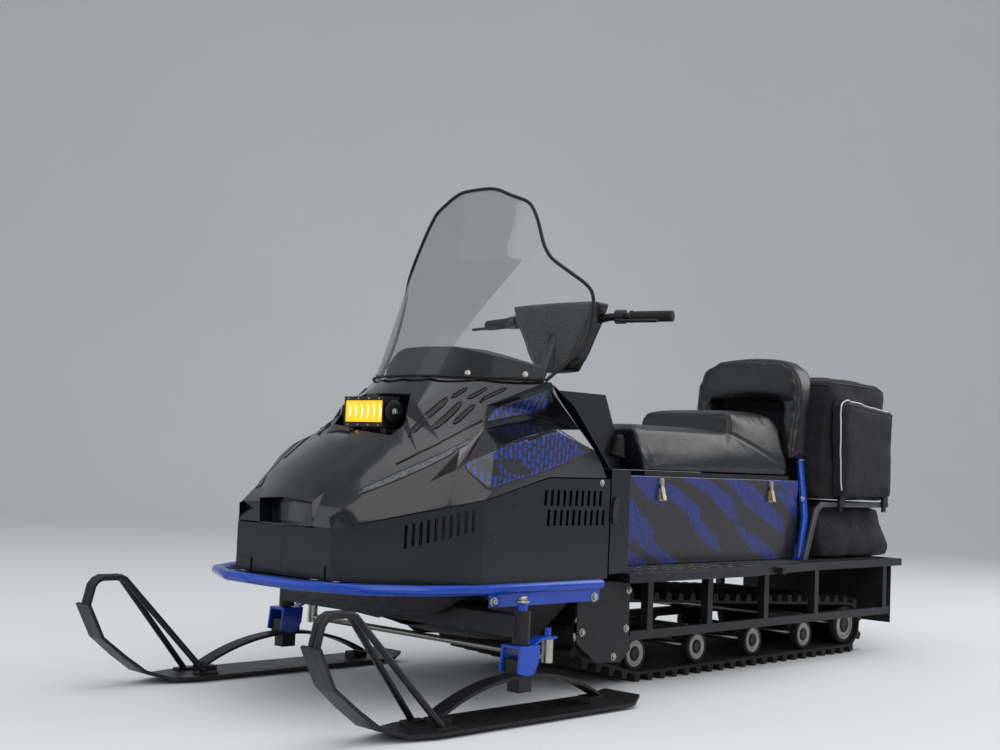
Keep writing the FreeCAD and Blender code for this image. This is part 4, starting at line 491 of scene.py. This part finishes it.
class Skin:
    """The outer surface of the hood's thin walls, to lay trim on."""

    def __init__(self, node):
        shape = NODES[node].evaluated_get(bpy.context.evaluated_depsgraph_get())
        self.tree = tree_of(shape.to_mesh())
        shape.to_mesh_clear()

    def lay(self, point, lift):
        """The place on the surface near a point, lifted off it, and the normal there."""
        place, normal, _, _ = self.tree.find_nearest(Vector(point) * MM)
        outward = normal if normal.dot(Vector(point) * MM - HOOD_INSIDE) > 0 else -normal
        outer, _, _, _ = self.tree.ray_cast(place + outward * RAY_START, -outward)
        return (outer or place) / MM + outward * lift, outward


def along(points, count):
    """A polyline divided into equal steps."""
    points = [Vector(p) for p in points]
    lengths = [0]
    for a, b in zip(points, points[1:]):
        lengths.append(lengths[-1] + (b - a).length)
    out = []
    for i in range(count):
        at = lengths[-1] * i / (count - 1)
        k = max(j for j in range(len(points) - 1) if lengths[j] <= at + 1e-9)
        share = (at - lengths[k]) / max(1e-9, lengths[k + 1] - lengths[k])
        out.append(points[k].lerp(points[k + 1], min(1, share)))
    return out


def flip(point, side):
    """The point on the left side, or mirrored to the right for side -1."""
    return Vector((point[0], point[1] * side, point[2]))


FILM = 0.8


def add_patch(build, skin, top, bottom, lift, columns, rows, side=1):
    """A film laid on a skin between two lines."""
    upper, lower = (along([flip(p, side) for p in line], columns) for line in (top, bottom))
    face, back = [], []
    for row in range(rows):
        for column in range(columns):
            place, normal = skin.lay(upper[column].lerp(lower[column], row / (rows - 1)), lift)
            face.append(place)
            back.append(place - normal * FILM)
    start, size = len(build.points), rows * columns
    build.points.extend(face + back)
    for row in range(rows - 1):
        for column in range(columns - 1):
            a = start + row * columns + column
            loop = (a, a + 1, a + columns + 1, a + columns)
            build.faces.append(loop)
            build.faces.append(tuple(i + size for i in loop[::-1]))
    border = [row * columns for row in range(rows)]
    border += [(rows - 1) * columns + column for column in range(1, columns)]
    border += [row * columns + columns - 1 for row in range(rows - 2, -1, -1)]
    border += range(columns - 2, 0, -1)
    for a, b in zip(border, border[1:] + border[:1]):
        build.faces.append((start + a, start + b, start + b + size, start + a + size))


# Hood: printed panels, mesh strip, slots, and a dark matte tube of painted shade along the groove

HOOD = Skin("hood")
SIDE_PANEL = (
    ((846, 342, 590), (798, 366, 615), (740, 378, 637), (660, 374, 661), (566, 382, 680), (507, 387, 657),
     (446, 388, 634)),
    ((848, 345, 577), (804, 381, 528), (737, 387, 548), (659, 389, 565), (570, 389, 590), (506, 389, 609),
     (446, 388, 629)),
)
POD_PANEL = (
    ((712, 279, 698), (677, 269, 725), (638, 279, 740), (604, 295, 755), (569, 310, 770), (539, 326, 783)),
    ((714, 281, 692), (672, 283, 700), (621, 286, 710), (569, 288, 718), (530, 300, 728), (523, 324, 751)),
)
MESH_STRIP = (
    ((1040, 190, 516), (994, 213, 541), (942, 240, 569), (893, 271, 597), (848, 292, 621), (792, 301, 645),
     (753, 290, 666)),
    ((1046, 196, 505), (1004, 225, 526), (955, 256, 552), (907, 288, 580), (862, 307, 606), (809, 309, 632),
     (758, 294, 661)),
)
CHEEK_SLOTS = (
    # start, end, width
    ((872, 172, 648), (746, 170, 749), 15), ((835, 211, 666), (729, 202, 740), 14),
    ((775, 225, 685), (713, 232, 734), 11), ((737, 177, 751), (700, 190, 776), 9),
    ((713, 210, 750), (669, 229, 778), 9), ((699, 238, 742), (633, 262, 780), 9),
)
# Line of the groove under the cheek panel, where a dark matte tube stands for its shadow: painted shade
GROOVE_SHADE_LINE = ((946, 213, 580), (896, 233, 608), (844, 253, 635), (773, 254, 666), (724, 272, 695))


# Heights over the hood's skin
PRINT_LIFT, MESH_LIFT, SLOT_LIFT, BORDER_LIFT, RIM_LIFT, SHADE_LINE_LIFT = 0.9, 0.7, 0.5, 0.6, 1.2, 0.3


def hood_trim():
    prints, mesh, slots_and_shade_line, rims = Build(), Build(), Build(), Build()
    for s in (1, -1):
        add_patch(prints, HOOD, *SIDE_PANEL, PRINT_LIFT, columns=70, rows=16, side=s)
        add_patch(prints, HOOD, *POD_PANEL, PRINT_LIFT, columns=40, rows=10, side=s)
        add_patch(mesh, HOOD, *MESH_STRIP, MESH_LIFT, columns=70, rows=5, side=s)
        for start, end, width in CHEEK_SLOTS:
            a, b = flip(start, s), flip(end, s)
            _, normal = HOOD.lay((a + b) / 2, 0)
            across = (b - a).cross(normal).normalized() * (width / 2)
            steps, blunt = 12, 0.14
            line = [a + (b - a) * (k / steps) for k in range(steps + 1)]
            taper = [min(1, max(blunt, min(k, steps - k) / 2)) for k in range(steps + 1)]
            taper = [math.sin(math.pi / 2 * share) for share in taper]
            upper = [p + across * t for p, t in zip(line, taper)]
            lower = [p - across * t for p, t in zip(line, taper)]
            add_patch(slots_and_shade_line, HOOD, upper, lower, SLOT_LIFT, columns=24, rows=5)
            ring = [HOOD.lay(p, RIM_LIFT)[0] for p in upper + lower[::-1]]
            rims.rings(tube_rings(smooth_line(ring, 2, True), 1.7, 8, True), closed=True)
        # Painted shade: a dark matte tube along the groove as its shadow line
        seam = [HOOD.lay(flip(p, s), SHADE_LINE_LIFT)[0] for p in smooth_line(GROOVE_SHADE_LINE, 8)]
        slots_and_shade_line.rings(tube_rings(seam, 2.6, 8))
        for border in (SIDE_PANEL, MESH_STRIP, POD_PANEL):
            loop = [flip(p, s) for p in border[0] + border[1][::-1]]
            edge = [HOOD.lay(p, BORDER_LIFT)[0] for p in along(loop + loop[:1], 90)[:-1]]
            rims.rings(tube_rings(edge, 1.3, 6, True), closed=True)
    prints.piece("hood_prints", PANEL_PRINT, "bonnet", "hood_plastic")
    mesh.piece("hood_mesh_strips", GRILLE, "bonnet", "hood_plastic")
    slots_and_shade_line.piece("hood_slots_and_shade_line", PLASTIC, "bonnet", "hood_plastic")
    rims.piece("hood_rims", GLOSS_BLACK, "bonnet", "hood_plastic")


# Windscreen: rubber on its edge and at its foot

SCREEN_EDGE = (
    # height, half width
    (1332, 44), (1325, 84), (1309, 122), (1289, 172), (1268, 194), (1231, 216), (1175, 241), (1148, 256),
    (1127, 272), (1099, 305), (1065, 344), (1040, 360), (1002, 368), (950, 372), (900, 366), (850, 345),
    (806, 322),
)


def screen_point(y, z):
    """A point on the front of the windscreen, which leans back and wraps round."""
    height = z - 800
    return Vector((742 - 0.45 * height - (0.0019 - 0.000001 * height) * y * y + 1.3, y, z))


def screen_trim():
    side = [screen_point(half - 3, z - 3.5) for z, half in SCREEN_EDGE]
    line = [flip(p, -1) for p in side[::-1]] + side
    edge = Build()
    edge.rings(tube_rings(smooth_line(line, 4), 4.6, 10))
    foot = [screen_point(y, 806) + Vector((3, 0, 0)) for y in range(-318, 319, 12)]
    edge.rings(tube_rings(foot, 3.4, 8))
    edge.piece("screen_rubber", RUBBER, "bonnet", "grip_rubber")


# Lamp: crescents of painted highlight behind the lens, bezel screws and the round brackets

LAMP_FACE, LAMP_AXIS_X, LAMP_AXIS_Z = 872, 840, 707


def lamp_trim():
    glints, screws, bracket = Build(), Build(), Build()
    points = 15
    # Crescents of painted highlight, one behind each scallop of the lens
    for y in (-57.5, -34.5, -11.5, 11.5, 34.5, 57.5):
        arc = [Vector((868.6 + 0.9 * math.cos(a), y - 9 + 15 * math.cos(a), 708 + 21 * math.sin(a)))
               for a in np.linspace(-1.25, 1.25, points)]
        rings = []
        for i, p in enumerate(arc):
            wide = 0.6 + 5.4 * math.sin(math.pi * i / (points - 1))
            rings.append([p + Vector((0, -wide, 0)), p + Vector((1.0, 0, 0)), p + Vector((0, wide * 0.5, 0)),
                          p + Vector((-1.0, 0, 0))])
        glints.rings(rings)
    for k in range(4):
        for z in (674, 740):
            head = ((2.4, -1), (2.4, 1), (1.6, 1.6))
            screws.rings(turned_rings((LAMP_FACE, -58 + 38.7 * k, z), (1, 0, 0), head, 12))
    for s in (1, -1):
        disc = ((29, 0), (30, 1), (30, 3), (29, 4), (12, 4.2))
        bracket.rings(turned_rings((LAMP_AXIS_X, 79 * s, LAMP_AXIS_Z), (0, s, 0), disc, 40))
        add_bolt(screws, (LAMP_AXIS_X, 83.5 * s, LAMP_AXIS_Z), (0, s, 0), 6.5)
    glints.piece("lamp_painted_glints", PAINTED_GLINT, "bonnet", "lamp_glass")
    screws.piece("lamp_screws", ZINC, "bonnet", "zinc")
    bracket.piece("lamp_brackets", PLASTIC, "bonnet", "lamp_black")


# Bolts on panels, plates and the bumper

BONNET_BOLTS = (
    # place, normal, radius
    ((391, 384.4, 551), (0, 1, 0), 5.5), ((680, 171, 815), (0.77, 0.57, 0.28), 5),
    ((584, 281, 817), (0.67, 0.71, 0.22), 5),
)
FRAME_BOLTS = (
    ((421, 396.4, 264), (0, 1, 0), 8), ((786, 396.4, 268), (0, 1, 0), 8), ((211, 341.5, 269), (0, 1, 0), 7),
    ((268, 341.5, 97), (0, 1, 0), 7), ((218, 341.5, 168), (0, 1, 0), 7), ((398, 341.5, 168), (0, 1, 0), 7),
)


def bolts():
    moving, fixed = Build(), Build()
    for s in (1, -1):
        for build, table in ((moving, BONNET_BOLTS), (fixed, FRAME_BOLTS)):
            for centre, normal, radius in table:
                add_bolt(build, flip(centre, s), flip(normal, s), radius)
    moving.piece("bonnet_bolts", ZINC, "bonnet", "zinc")
    fixed.piece("frame_bolts", ZINC, "chassis", "zinc")


# Wheels: rubber tyres, discs and bright rings

# x, z and radius
WHEELS = [(40 - 294 * k, 76, 48) for k in range(4)] + [(-1100, 94, 66)]
TYRE_MIDDLE, TYRE_HALF = 224, 13


def wheels():
    tyres, discs, rings, shafts = Build(), Build(), Build(), Build()
    t = TYRE_HALF
    for x, z, radius in WHEELS:
        r = radius - 0.4
        rim, cap = 0.77 * r, 0.40 * r
        for s in (1, -1):
            centre, out = (x, TYRE_MIDDLE * s, z), (0, s, 0)
            tyre = ((rim, -t), (r - 3, -t), (r - 0.6, 3 - t), (r, 6 - t), (r, t - 6), (r - 0.6, t - 3),
                    (r - 3, t), (rim + 1.5, t), (rim, t - 2))
            tyres.rings(turned_rings(centre, out, tyre, 64), closed=True)
            disc = ((10, 1 - t), (rim, 1 - t), (rim, t - 5), (cap, t - 5), (cap, t - 0.5), (cap - 1.5, t + 1),
                    (cap * 0.55, t + 1.6), (cap * 0.5, t + 1), (4, t + 1))
            discs.rings(turned_rings(centre, out, disc, 64))
            band = ((rim, t - 6), (rim, t - 1.5), (rim - 1, t - 0.8), (rim - 3.2, t - 0.8),
                    (rim - 4.2, t - 2.6), (rim - 6, t - 2.6), (rim - 7, t - 1.4), (cap + 2.5, t - 2.2),
                    (cap + 1, t - 3), (cap + 1, t - 6))
            rings.rings(turned_rings(centre, out, band, 64), closed=True)
        half = TYRE_MIDDLE - 10
        shafts.rings(turned_rings((x, -half, z), (0, 1, 0), ((9, 0), (9, 2 * half)), 24))
    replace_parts(tyres.piece("wheel_tyres", RUBBER, "chassis", "wheel_rubber"), "track_wheels")
    discs.piece("wheel_discs", PLASTIC, "chassis", "lamp_black")
    rings.piece("wheel_rings", ALLOY, "chassis", "zinc")
    shafts.piece("wheel_axles", ZINC, "chassis", "zinc")


DECK_LIP = 318.6


def treads():
    """Worn lips round the slots of the running boards, and cleats behind them."""
    lips = Build()
    for s in (1, -1):
        for index in range(8):
            for row, (near, far) in enumerate(((8, 40), (48, 80))):
                x = 226 - 62 * index - 24 * row
                slot = ((x + 2, 266 + near), (x - 22, 266 + near), (x - 32, 270 + far), (x - 8, 270 + far))
                loop = along([(px, py * s, DECK_LIP) for px, py in slot + slot[:1]], 25)[:-1]
                lips.rings(tube_rings(loop, 1.6, 6, True), closed=True)
        for x in range(-300, -690, -31):
            edge = 366 + (x + 300) * 0.135
            top = DECK_LIP + 0.2
            for low, high in ((274, (274 + edge) / 2 - 4), ((274 + edge) / 2 + 4, edge)):
                lips.rings(tube_rings([Vector((x, low * s, top)), Vector((x - 9, high * s, top))], 1.9, 8))
    lips.piece("tread_lips", RACK_STEEL, "chassis", "rack_steel")


# Grips with ribs, in place of the plain ones

def grips():
    """Ribs turned round each grip's own axis, which comes from its points."""
    build = Build()
    points = np.array([v.co for v in NODES["grips"].data.vertices]) / MM
    for s in (1, -1):
        half = points[points[:, 1] * s > 0]
        middle = half.mean(0)
        axis = np.linalg.svd(half - middle, full_matrices=False)[2][0]
        axis = axis if axis[1] * s > 0 else -axis
        reach = (half - middle) @ axis
        low, high = reach.min(), reach.max()
        profile = [(11.3, 0), (17.5, 0.2), (18, 2), (17.5, 4)]
        for k in range(14):
            at = 8 + k * 8
            profile += [(14.4, at), (15.6, at + 1), (15.6, at + 5), (14.4, at + 6)]
        profile += [(15.6, high - low - 5), (15.4, high - low - 1), (13, high - low)]
        build.rings(turned_rings(middle + axis * low, axis, profile, 28))
    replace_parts(build.piece("ribbed_grips", RUBBER, "steering", "grip_rubber"), "grips")


# Soft pieces

def settled(obj):
    """The mesh with its modifiers applied."""
    data = bpy.data.meshes.new_from_object(obj.evaluated_get(bpy.context.evaluated_depsgraph_get()))
    obj.modifiers.clear()
    obj.data = data
    return data


def vectors(items, field):
    out = np.empty(len(items) * 3)
    items.foreach_get(field, out)
    return out.reshape(-1, 3)


def points_of(data):
    return vectors(data.vertices, "co")


def normals_of(data):
    return vectors(data.vertex_normals, "vector")


def put(data, points):
    data.vertices.foreach_set("co", points.ravel())
    data.update()


def held_under(height, fade=6):
    """Holds the points lower than a height, in millimetres."""
    return lambda p: np.clip((height - p[:, 2]) / fade, 0, 1)


CLOTH_FRAMES = 20
# Metres along a seam for one radian of its pucker
PUCKER_STEP = 0.011


def blow_up(obj, pressure, cap, held):
    """Inflates the mesh like a stuffed cover, by cap at most. held gives the pinned share of each point."""
    data = obj.data
    before = points_of(data)
    group = obj.vertex_groups.new(name="held")
    for index, weight in enumerate(held(before / MM)):
        if weight > 0:
            group.add([index], float(weight), "REPLACE")
    cloth = obj.modifiers.new("cloth", "CLOTH")
    rules = cloth.settings
    rules.quality, rules.mass = 4, 0.25
    rules.tension_stiffness, rules.compression_stiffness, rules.bending_stiffness = 12, 12, 0.6
    rules.use_pressure, rules.uniform_pressure_force = True, pressure
    rules.effector_weights.gravity = 0
    rules.vertex_group_mass = "held"
    cloth.point_cache.frame_start, cloth.point_cache.frame_end = 1, CLOTH_FRAMES
    for frame_number in range(1, CLOTH_FRAMES + 1):
        bpy.context.scene.frame_set(frame_number)
    shape = obj.evaluated_get(bpy.context.evaluated_depsgraph_get())
    after = points_of(shape.data)
    obj.modifiers.clear()
    obj.vertex_groups.clear()
    bpy.context.scene.frame_set(1)
    move = after - before
    length = np.linalg.norm(move, axis=1, keepdims=True)
    limit = cap * MM
    put(data, before + move * (limit * np.tanh(length / limit) / np.maximum(length, 1e-9)))


def creased(data, lines, depth, width, pucker=0.0):
    """Pulls the surface in along seams, with a slight pucker beside the stitches."""
    points, normals = points_of(data), normals_of(data)
    move = np.zeros(len(points))
    for line in lines:
        path = np.array([p * MM for p in line])
        steps = np.concatenate([[0], np.cumsum(np.linalg.norm(np.diff(path, axis=0), axis=1))])
        nearest, at = np.full(len(points), 1e9), np.zeros(len(points))
        for k in range(len(path) - 1):
            edge = path[k + 1] - path[k]
            share = np.clip(((points - path[k]) @ edge) / max(edge @ edge, 1e-12), 0, 1)
            gap = np.linalg.norm(points - path[k] - share[:, None] * edge, axis=1)
            closer = gap < nearest
            nearest[closer] = gap[closer]
            at[closer] = steps[k] + share[closer] * (steps[k + 1] - steps[k])
        fade = np.exp(-(nearest / (width * MM)) ** 2)
        wave = pucker * np.exp(-(nearest / (width * 4 * MM)) ** 2) * np.sin(at / PUCKER_STEP)
        move -= depth * MM * fade + wave * MM
    put(data, points + normals * move[:, None])


def soft_piece(node, name, body, material, voxel, shrink, rounds, pressure, cap, held):
    """A stuffed cover in the space of a soft node: remeshed, rounded, drawn in and blown up again."""
    obj = new_object(name, NODES[node].data.copy())
    obj.data.materials.clear()
    obj.data.materials.append(material)
    remesh = obj.modifiers.new("remesh", "REMESH")
    remesh.mode, remesh.voxel_size = "VOXEL", voxel * MM
    ease = obj.modifiers.new("ease", "SMOOTH")
    ease.factor, ease.iterations = 0.6, rounds
    data = settled(obj)
    put(data, points_of(data) - normals_of(data) * shrink * MM)
    blow_up(obj, pressure, cap, held)
    finer = obj.modifiers.new("finer", "SUBSURF")
    finer.levels = finer.render_levels = 1
    shade(settled(obj))
    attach(obj, body)
    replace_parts(obj, node)
    return obj


class Cover(Skin):
    """The surface of a soft piece, to lay seams and straps on."""

    def __init__(self, obj):
        self.tree = tree_of(obj.data)

    def lay(self, point, lift):
        place, normal, _, _ = self.tree.find_nearest(Vector(point) * MM)
        return place / MM + normal * lift, normal


def laid(cover, points, lift, count, closed=False):
    """A polyline in equal steps, laid on a cover."""
    loop = list(points) + ([points[0]] if closed else [])
    line = [cover.lay(p, lift)[0] for p in along(loop, count)]
    return line[:-1] if closed else line


def add_piping(name, body, obj, seams, lift, radius):
    """Leather piping along seams that were laid before the cover was creased."""
    cover, piping = Cover(obj), Build()
    for seam in seams:
        piping.rings(tube_rings([cover.lay(p, lift)[0] for p in seam], radius, 8))
    piping.piece(name, LEATHER, body, "seat_leather")


def wrinkled(data, size, depth, seed):
    """Slow folds: noise stretched along one way moves the surface in and out."""
    points, normals = points_of(data), normals_of(data)
    shift = Vector((seed, seed * 1.7, 0))
    for i, (p, n) in enumerate(zip(points, normals)):
        value = noise_at(Vector((p[0] / size[0], p[1] / size[1], p[2] / size[2])) + shift)
        points[i] = p + n * (value * depth * MM)
    put(data, points)


def seat_cover():
    bottom = held_under(596, 8)

    def held(p):
        step = np.exp(-((p[:, 0] + 471) / 14) ** 2) * (p[:, 2] > 690)
        return np.clip(np.maximum(bottom(p), step * 0.9), 0, 1)

    obj = soft_piece("seat_cushion", "seat_cover", "seat", LEATHER, voxel=9, shrink=2.5,
                     rounds=9, pressure=4.0, cap=9, held=held)
    cover = Cover(obj)
    seams = []
    for s in (1, -1):
        side = ((-470, 182 * s, 712), (-500, 186 * s, 700), (-600, 192 * s, 665), (-700, 198 * s, 630),
                (-764, 200 * s, 604))
        edge = ((-470, 178 * s, 770), (-470, 184 * s, 712))
        hem = ((20, 208 * s, 592), (-300, 211 * s, 592), (-764, 211 * s, 592))
        seams += [laid(cover, side, 0, 60), laid(cover, edge, 0, 20), laid(cover, hem, 0, 60)]
    seams.append(laid(cover, ((-462, 180, 712), (-466, 0, 712), (-462, -180, 712)), 0, 40))
    seams.append(laid(cover, ((-478, 172, 772), (-482, 0, 784), (-478, -172, 772)), 0, 40))
    creased(obj.data, seams, depth=2.6, width=5, pucker=0.35)
    without_hems = seams[:2] + seams[3:5] + seams[-2:]
    add_piping("seat_piping", "seat", obj, without_hems, lift=0.2, radius=1.7)


def bolster_cover():
    obj = soft_piece("rear_bolster", "bolster_cover", "chassis", LEATHER, voxel=8, shrink=2,
                     rounds=8, pressure=4.0, cap=7, held=held_under(584))
    seam = laid(Cover(obj), ((-776, -130, 745), (-776, 130, 745)), 0, 30)
    creased(obj.data, [seam], depth=2.2, width=5, pucker=0.3)


def backrest_cover():
    obj = soft_piece("backrest_pad", "backrest_cover", "chassis", LEATHER, voxel=8,
                     shrink=3.0, rounds=14, pressure=4.0, cap=9, held=held_under(646))
    cover = Cover(obj)
    arch = [(205, 660), (205, 780), (204, 870), (190, 935), (150, 970), (80, 980), (0, 984)]
    arch += [(-y, z) for y, z in arch[-2::-1]]
    seams = [laid(cover, [(-792 - 0.144 * (z - 318) + shift, y, z) for y, z in arch], 0, 120)
             for shift in (46, -46)]
    creased(obj.data, seams, depth=2.4, width=5, pucker=0.4)
    add_piping("backrest_piping", "chassis", obj, seams, lift=0.3, radius=2.0)
    collars = Build()
    for s in (1, -1):
        profile = ((12.6, 0), (15, 0.5), (15.5, 3), (14, 5))
        collars.rings(turned_rings((-877.5, 184 * s, 634), (-0.14, -0.2 * s, 1), profile, 32), caps=False)
    collars.piece("post_collars", ALLOY, "chassis", "zinc")


def bar_pad_cover():
    obj = soft_piece("bar_pad", "bar_pad_cover", "steering", LEATHER, voxel=5, shrink=1.5,
                     rounds=6, pressure=3.0, cap=5, held=lambda p: np.zeros(len(p)))
    rim = ((190, -160, 1050), (190, 160, 1050), (190, 146, 1004), (190, 92, 902), (190, 60, 860),
           (190, -60, 860), (190, -92, 902), (190, -146, 1004))
    seam = laid(Cover(obj), rim, 0, 120, closed=True)
    creased(obj.data, [seam + seam[:1]], depth=1.8, width=4, pucker=0.3)


def bags():
    upper = soft_piece("bag_upper", "upper_bag", "chassis", FABRIC, voxel=11, shrink=5,
                       rounds=6, pressure=2.2, cap=8, held=held_under(516))
    wrinkled(upper.data, (0.16, 0.2, 0.05), depth=5, seed=3)
    lower = soft_piece("bag_lower", "lower_bag", "chassis", FABRIC, voxel=10, shrink=4,
                       rounds=6, pressure=2.0, cap=9, held=held_under(326))
    wrinkled(lower.data, (0.09, 0.2, 0.12), depth=7, seed=8)
    pockets = soft_piece("bag_pockets", "side_pockets", "chassis", FABRIC, voxel=9, shrink=3,
                         rounds=7, pressure=2.6, cap=6,
                         held=lambda p: np.clip((258 - np.abs(p[:, 1])) / 4, 0, 1))
    wrinkled(pockets.data, (0.1, 0.2, 0.07), depth=3, seed=5)
    cover, pouch = Cover(upper), Cover(pockets)
    piping, straps, buckles, zips = Build(), Build(), Build(), Build()
    top_edge = ((-1340, 905), (-1292, 918), (-970, 918), (-948, 900))
    for s in (1, -1):
        outline = ((-960, 290 * s, 545), (-948, 290 * s, 700), (-950, 290 * s, 812), (-972, 290 * s, 842),
                   (-1120, 290 * s, 838), (-1270, 290 * s, 826))
        piping.rings(tube_rings(laid(pouch, smooth_line(outline, 6), 0.6, 120), 2.4, 8))
        zip_line = ((-960, 290 * s, 800), (-980, 290 * s, 828), (-1120, 290 * s, 822), (-1296, 290 * s, 806))
        zips.rings(tube_rings(laid(pouch, smooth_line(zip_line, 6), 0.2, 100), 3.2, 6))
        zips.rings(tube_rings(laid(cover, [(x, 248 * s, z - 14) for x, z in top_edge], 0.2, 80), 2.2, 6))
        for x in (-1013, -1305):
            for dx in (-11, 11):
                web = [Vector((x + dx, 262 * s, z)) for z in (470, 492, 512, 530, 546)]
                straps.rings(tube_rings(web, 1.5, 6))
            plate = ((x - 12, 472), (x + 12, 472), (x + 12, 548), (x - 12, 548))
            straps.rings([[Vector((px, (257 + k * 2.2) * s, pz)) for px, pz in plate] for k in (0, 1)])
            clip = ((-17, 496), (-14, 490), (14, 490), (17, 496), (17, 520), (13, 528), (-13, 528),
                    (-17, 520))
            buckles.rings([[Vector((x + dx * grow, lift * s, 509 + (z - 509) * grow)) for dx, z in clip]
                           for lift, grow in ((258, 1.0), (266, 1.0), (268.5, 0.84))])
    for x in (-1330, -940):
        edge = [(x, y, 905) for y in (-236, -120, 0, 120, 236)]
        zips.rings(tube_rings(laid(cover, edge, 0.2, 50), 2.2, 6))
    piping.piece("pocket_piping", PIPING, "chassis", "bag_fabric")
    straps.piece("bag_straps", FABRIC, "chassis", "bag_fabric")
    buckles.piece("bag_buckles", PLASTIC, "chassis", "lamp_black", smooth=False)
    zips.piece("bag_zips", PLASTIC, "chassis", "lamp_black")


def small_parts():
    """Bellows beside the seat, lugs on the posts, nuts on the pins of the skis."""
    rubber, lugs, nuts = Build(), Build(), Build()
    folds = [(30, 0), (31, 2)]
    for k in range(7):
        folds += [(34 - k * 1.6, 5 + k * 9), (27 - k * 1.6, 9.5 + k * 9)]
    folds += [(15, 70), (12, 72)]
    folds = [(r * 0.72, z * 0.9) for r, z in folds]
    rubber.rings(turned_rings((46, 150, 622), (-0.2, 0, 0.98), folds, 32))
    rubber.piece("lever_bellows", RUBBER, "chassis", "flap_rubber")
    for s in (1, -1):
        base = Vector((-856, 212 * s, 512))
        plate = ((2, -24), (20, -13), (28, -4), (30, 3), (26, 11), (17, 14), (-3, 12))
        lugs.rings([[base + Vector((dx, dy * s, dz)) for dx, dz in plate] for dy in (4, 8.5)])
        add_bolt(nuts, base + Vector((18, 8.7 * s, 1)), (0, s, 0), 6)
    lugs.piece("post_lugs", VIVID_BLUE, "chassis", "hoop_blue", smooth=False)
    nuts.piece("post_bolts", ZINC, "chassis", "zinc")
    for name, body, s in (("left", "left_ski", 1), ("right", "right_ski", -1)):
        caps = Build()
        washer, nut = ((17, -1), (17, 3), (15, 4)), ((12, 0), (12, 9), (10, 11), (5, 11))
        caps.rings(turned_rings((737, 442 * s, 270), (0, 0, 1), washer, 32))
        caps.rings(turned_rings((737, 442 * s, 273), (0, 0, 1), nut, 24, 6))
        caps.piece("ski_nut_" + name, ZINC, body, "zinc")


for dress in (hood_trim, screen_trim, lamp_trim, bolts, wheels, treads, grips, seat_cover, bolster_cover,
              backrest_cover, bar_pad_cover, bags, small_parts):
    dress()


# Studio, in metres

LAMPS = (
    # name, place, size, watts, colour
    ("key", (3.2, 5.0, 4.6), 6.0, 210, (1.0, 0.985, 0.96)),
    ("fill", (5.0, -2.5, 3.0), 5.0, 60, (0.90, 0.95, 1.0)),
    ("rim", (-4.5, 2.0, 3.6), 3.5, 110, (1.0, 1.0, 1.0)),
    ("top", (0.0, 0.0, 5.5), 5.0, 90, (1.0, 1.0, 1.0)),
)
LAMP_AIM = Vector((0, 0, 0.4))
FLOOR_HALF = 22


def studio():
    """A pale floor that bends up into a backdrop, soft lamps and a pale world."""
    bend = [(-7 - 4 * math.sin(a), 4 - 4 * math.cos(a)) for a in np.linspace(0, math.pi / 2, 20)]
    yaw = math.radians(CAMERA_YAW)
    ahead = Vector((math.cos(yaw), math.sin(yaw), 0))
    side = Vector((-ahead.y, ahead.x, 0)) * FLOOR_HALF
    mesh = bmesh.new()
    lines = []
    for reach, up in [(14, 0)] + bend + [(-11, 16)]:
        middle = Vector((0, 0, up)) - ahead * reach
        lines.append([mesh.verts.new(middle + side), mesh.verts.new(middle - side)])
    for a, b in zip(lines, lines[1:]):
        mesh.faces.new((a[0], a[1], b[1], b[0]))
    data = bpy.data.meshes.new("floor")
    mesh.to_mesh(data)
    mesh.free()
    shade(data)
    floor = new_object("floor", data)
    look = Look("pale_floor")
    colour = look.mixed(look.noise(0.6, 3), (0.72, 0.73, 0.74), (0.76, 0.77, 0.78))
    look.set({"Base Color": colour, "Roughness": 0.75})
    data.materials.append(look.material)
    world = bpy.data.worlds.new("studio")
    world.use_nodes = True
    sky = world.node_tree.nodes["Background"].inputs
    sky["Color"].default_value = (0.80, 0.83, 0.88, 1)
    sky["Strength"].default_value = 0.50
    bpy.context.scene.world = world
    for name, place, size, watts, colour in LAMPS:
        data = bpy.data.lights.new(name, "AREA")
        data.size, data.energy, data.color = size, watts, colour
        lamp = new_object(name, data)
        lamp.location = place
        lamp.rotation_euler = (LAMP_AIM - Vector(place)).to_track_quat("-Z", "Y").to_euler()


studio()

bpy.context.scene.view_settings.view_transform = "Standard"
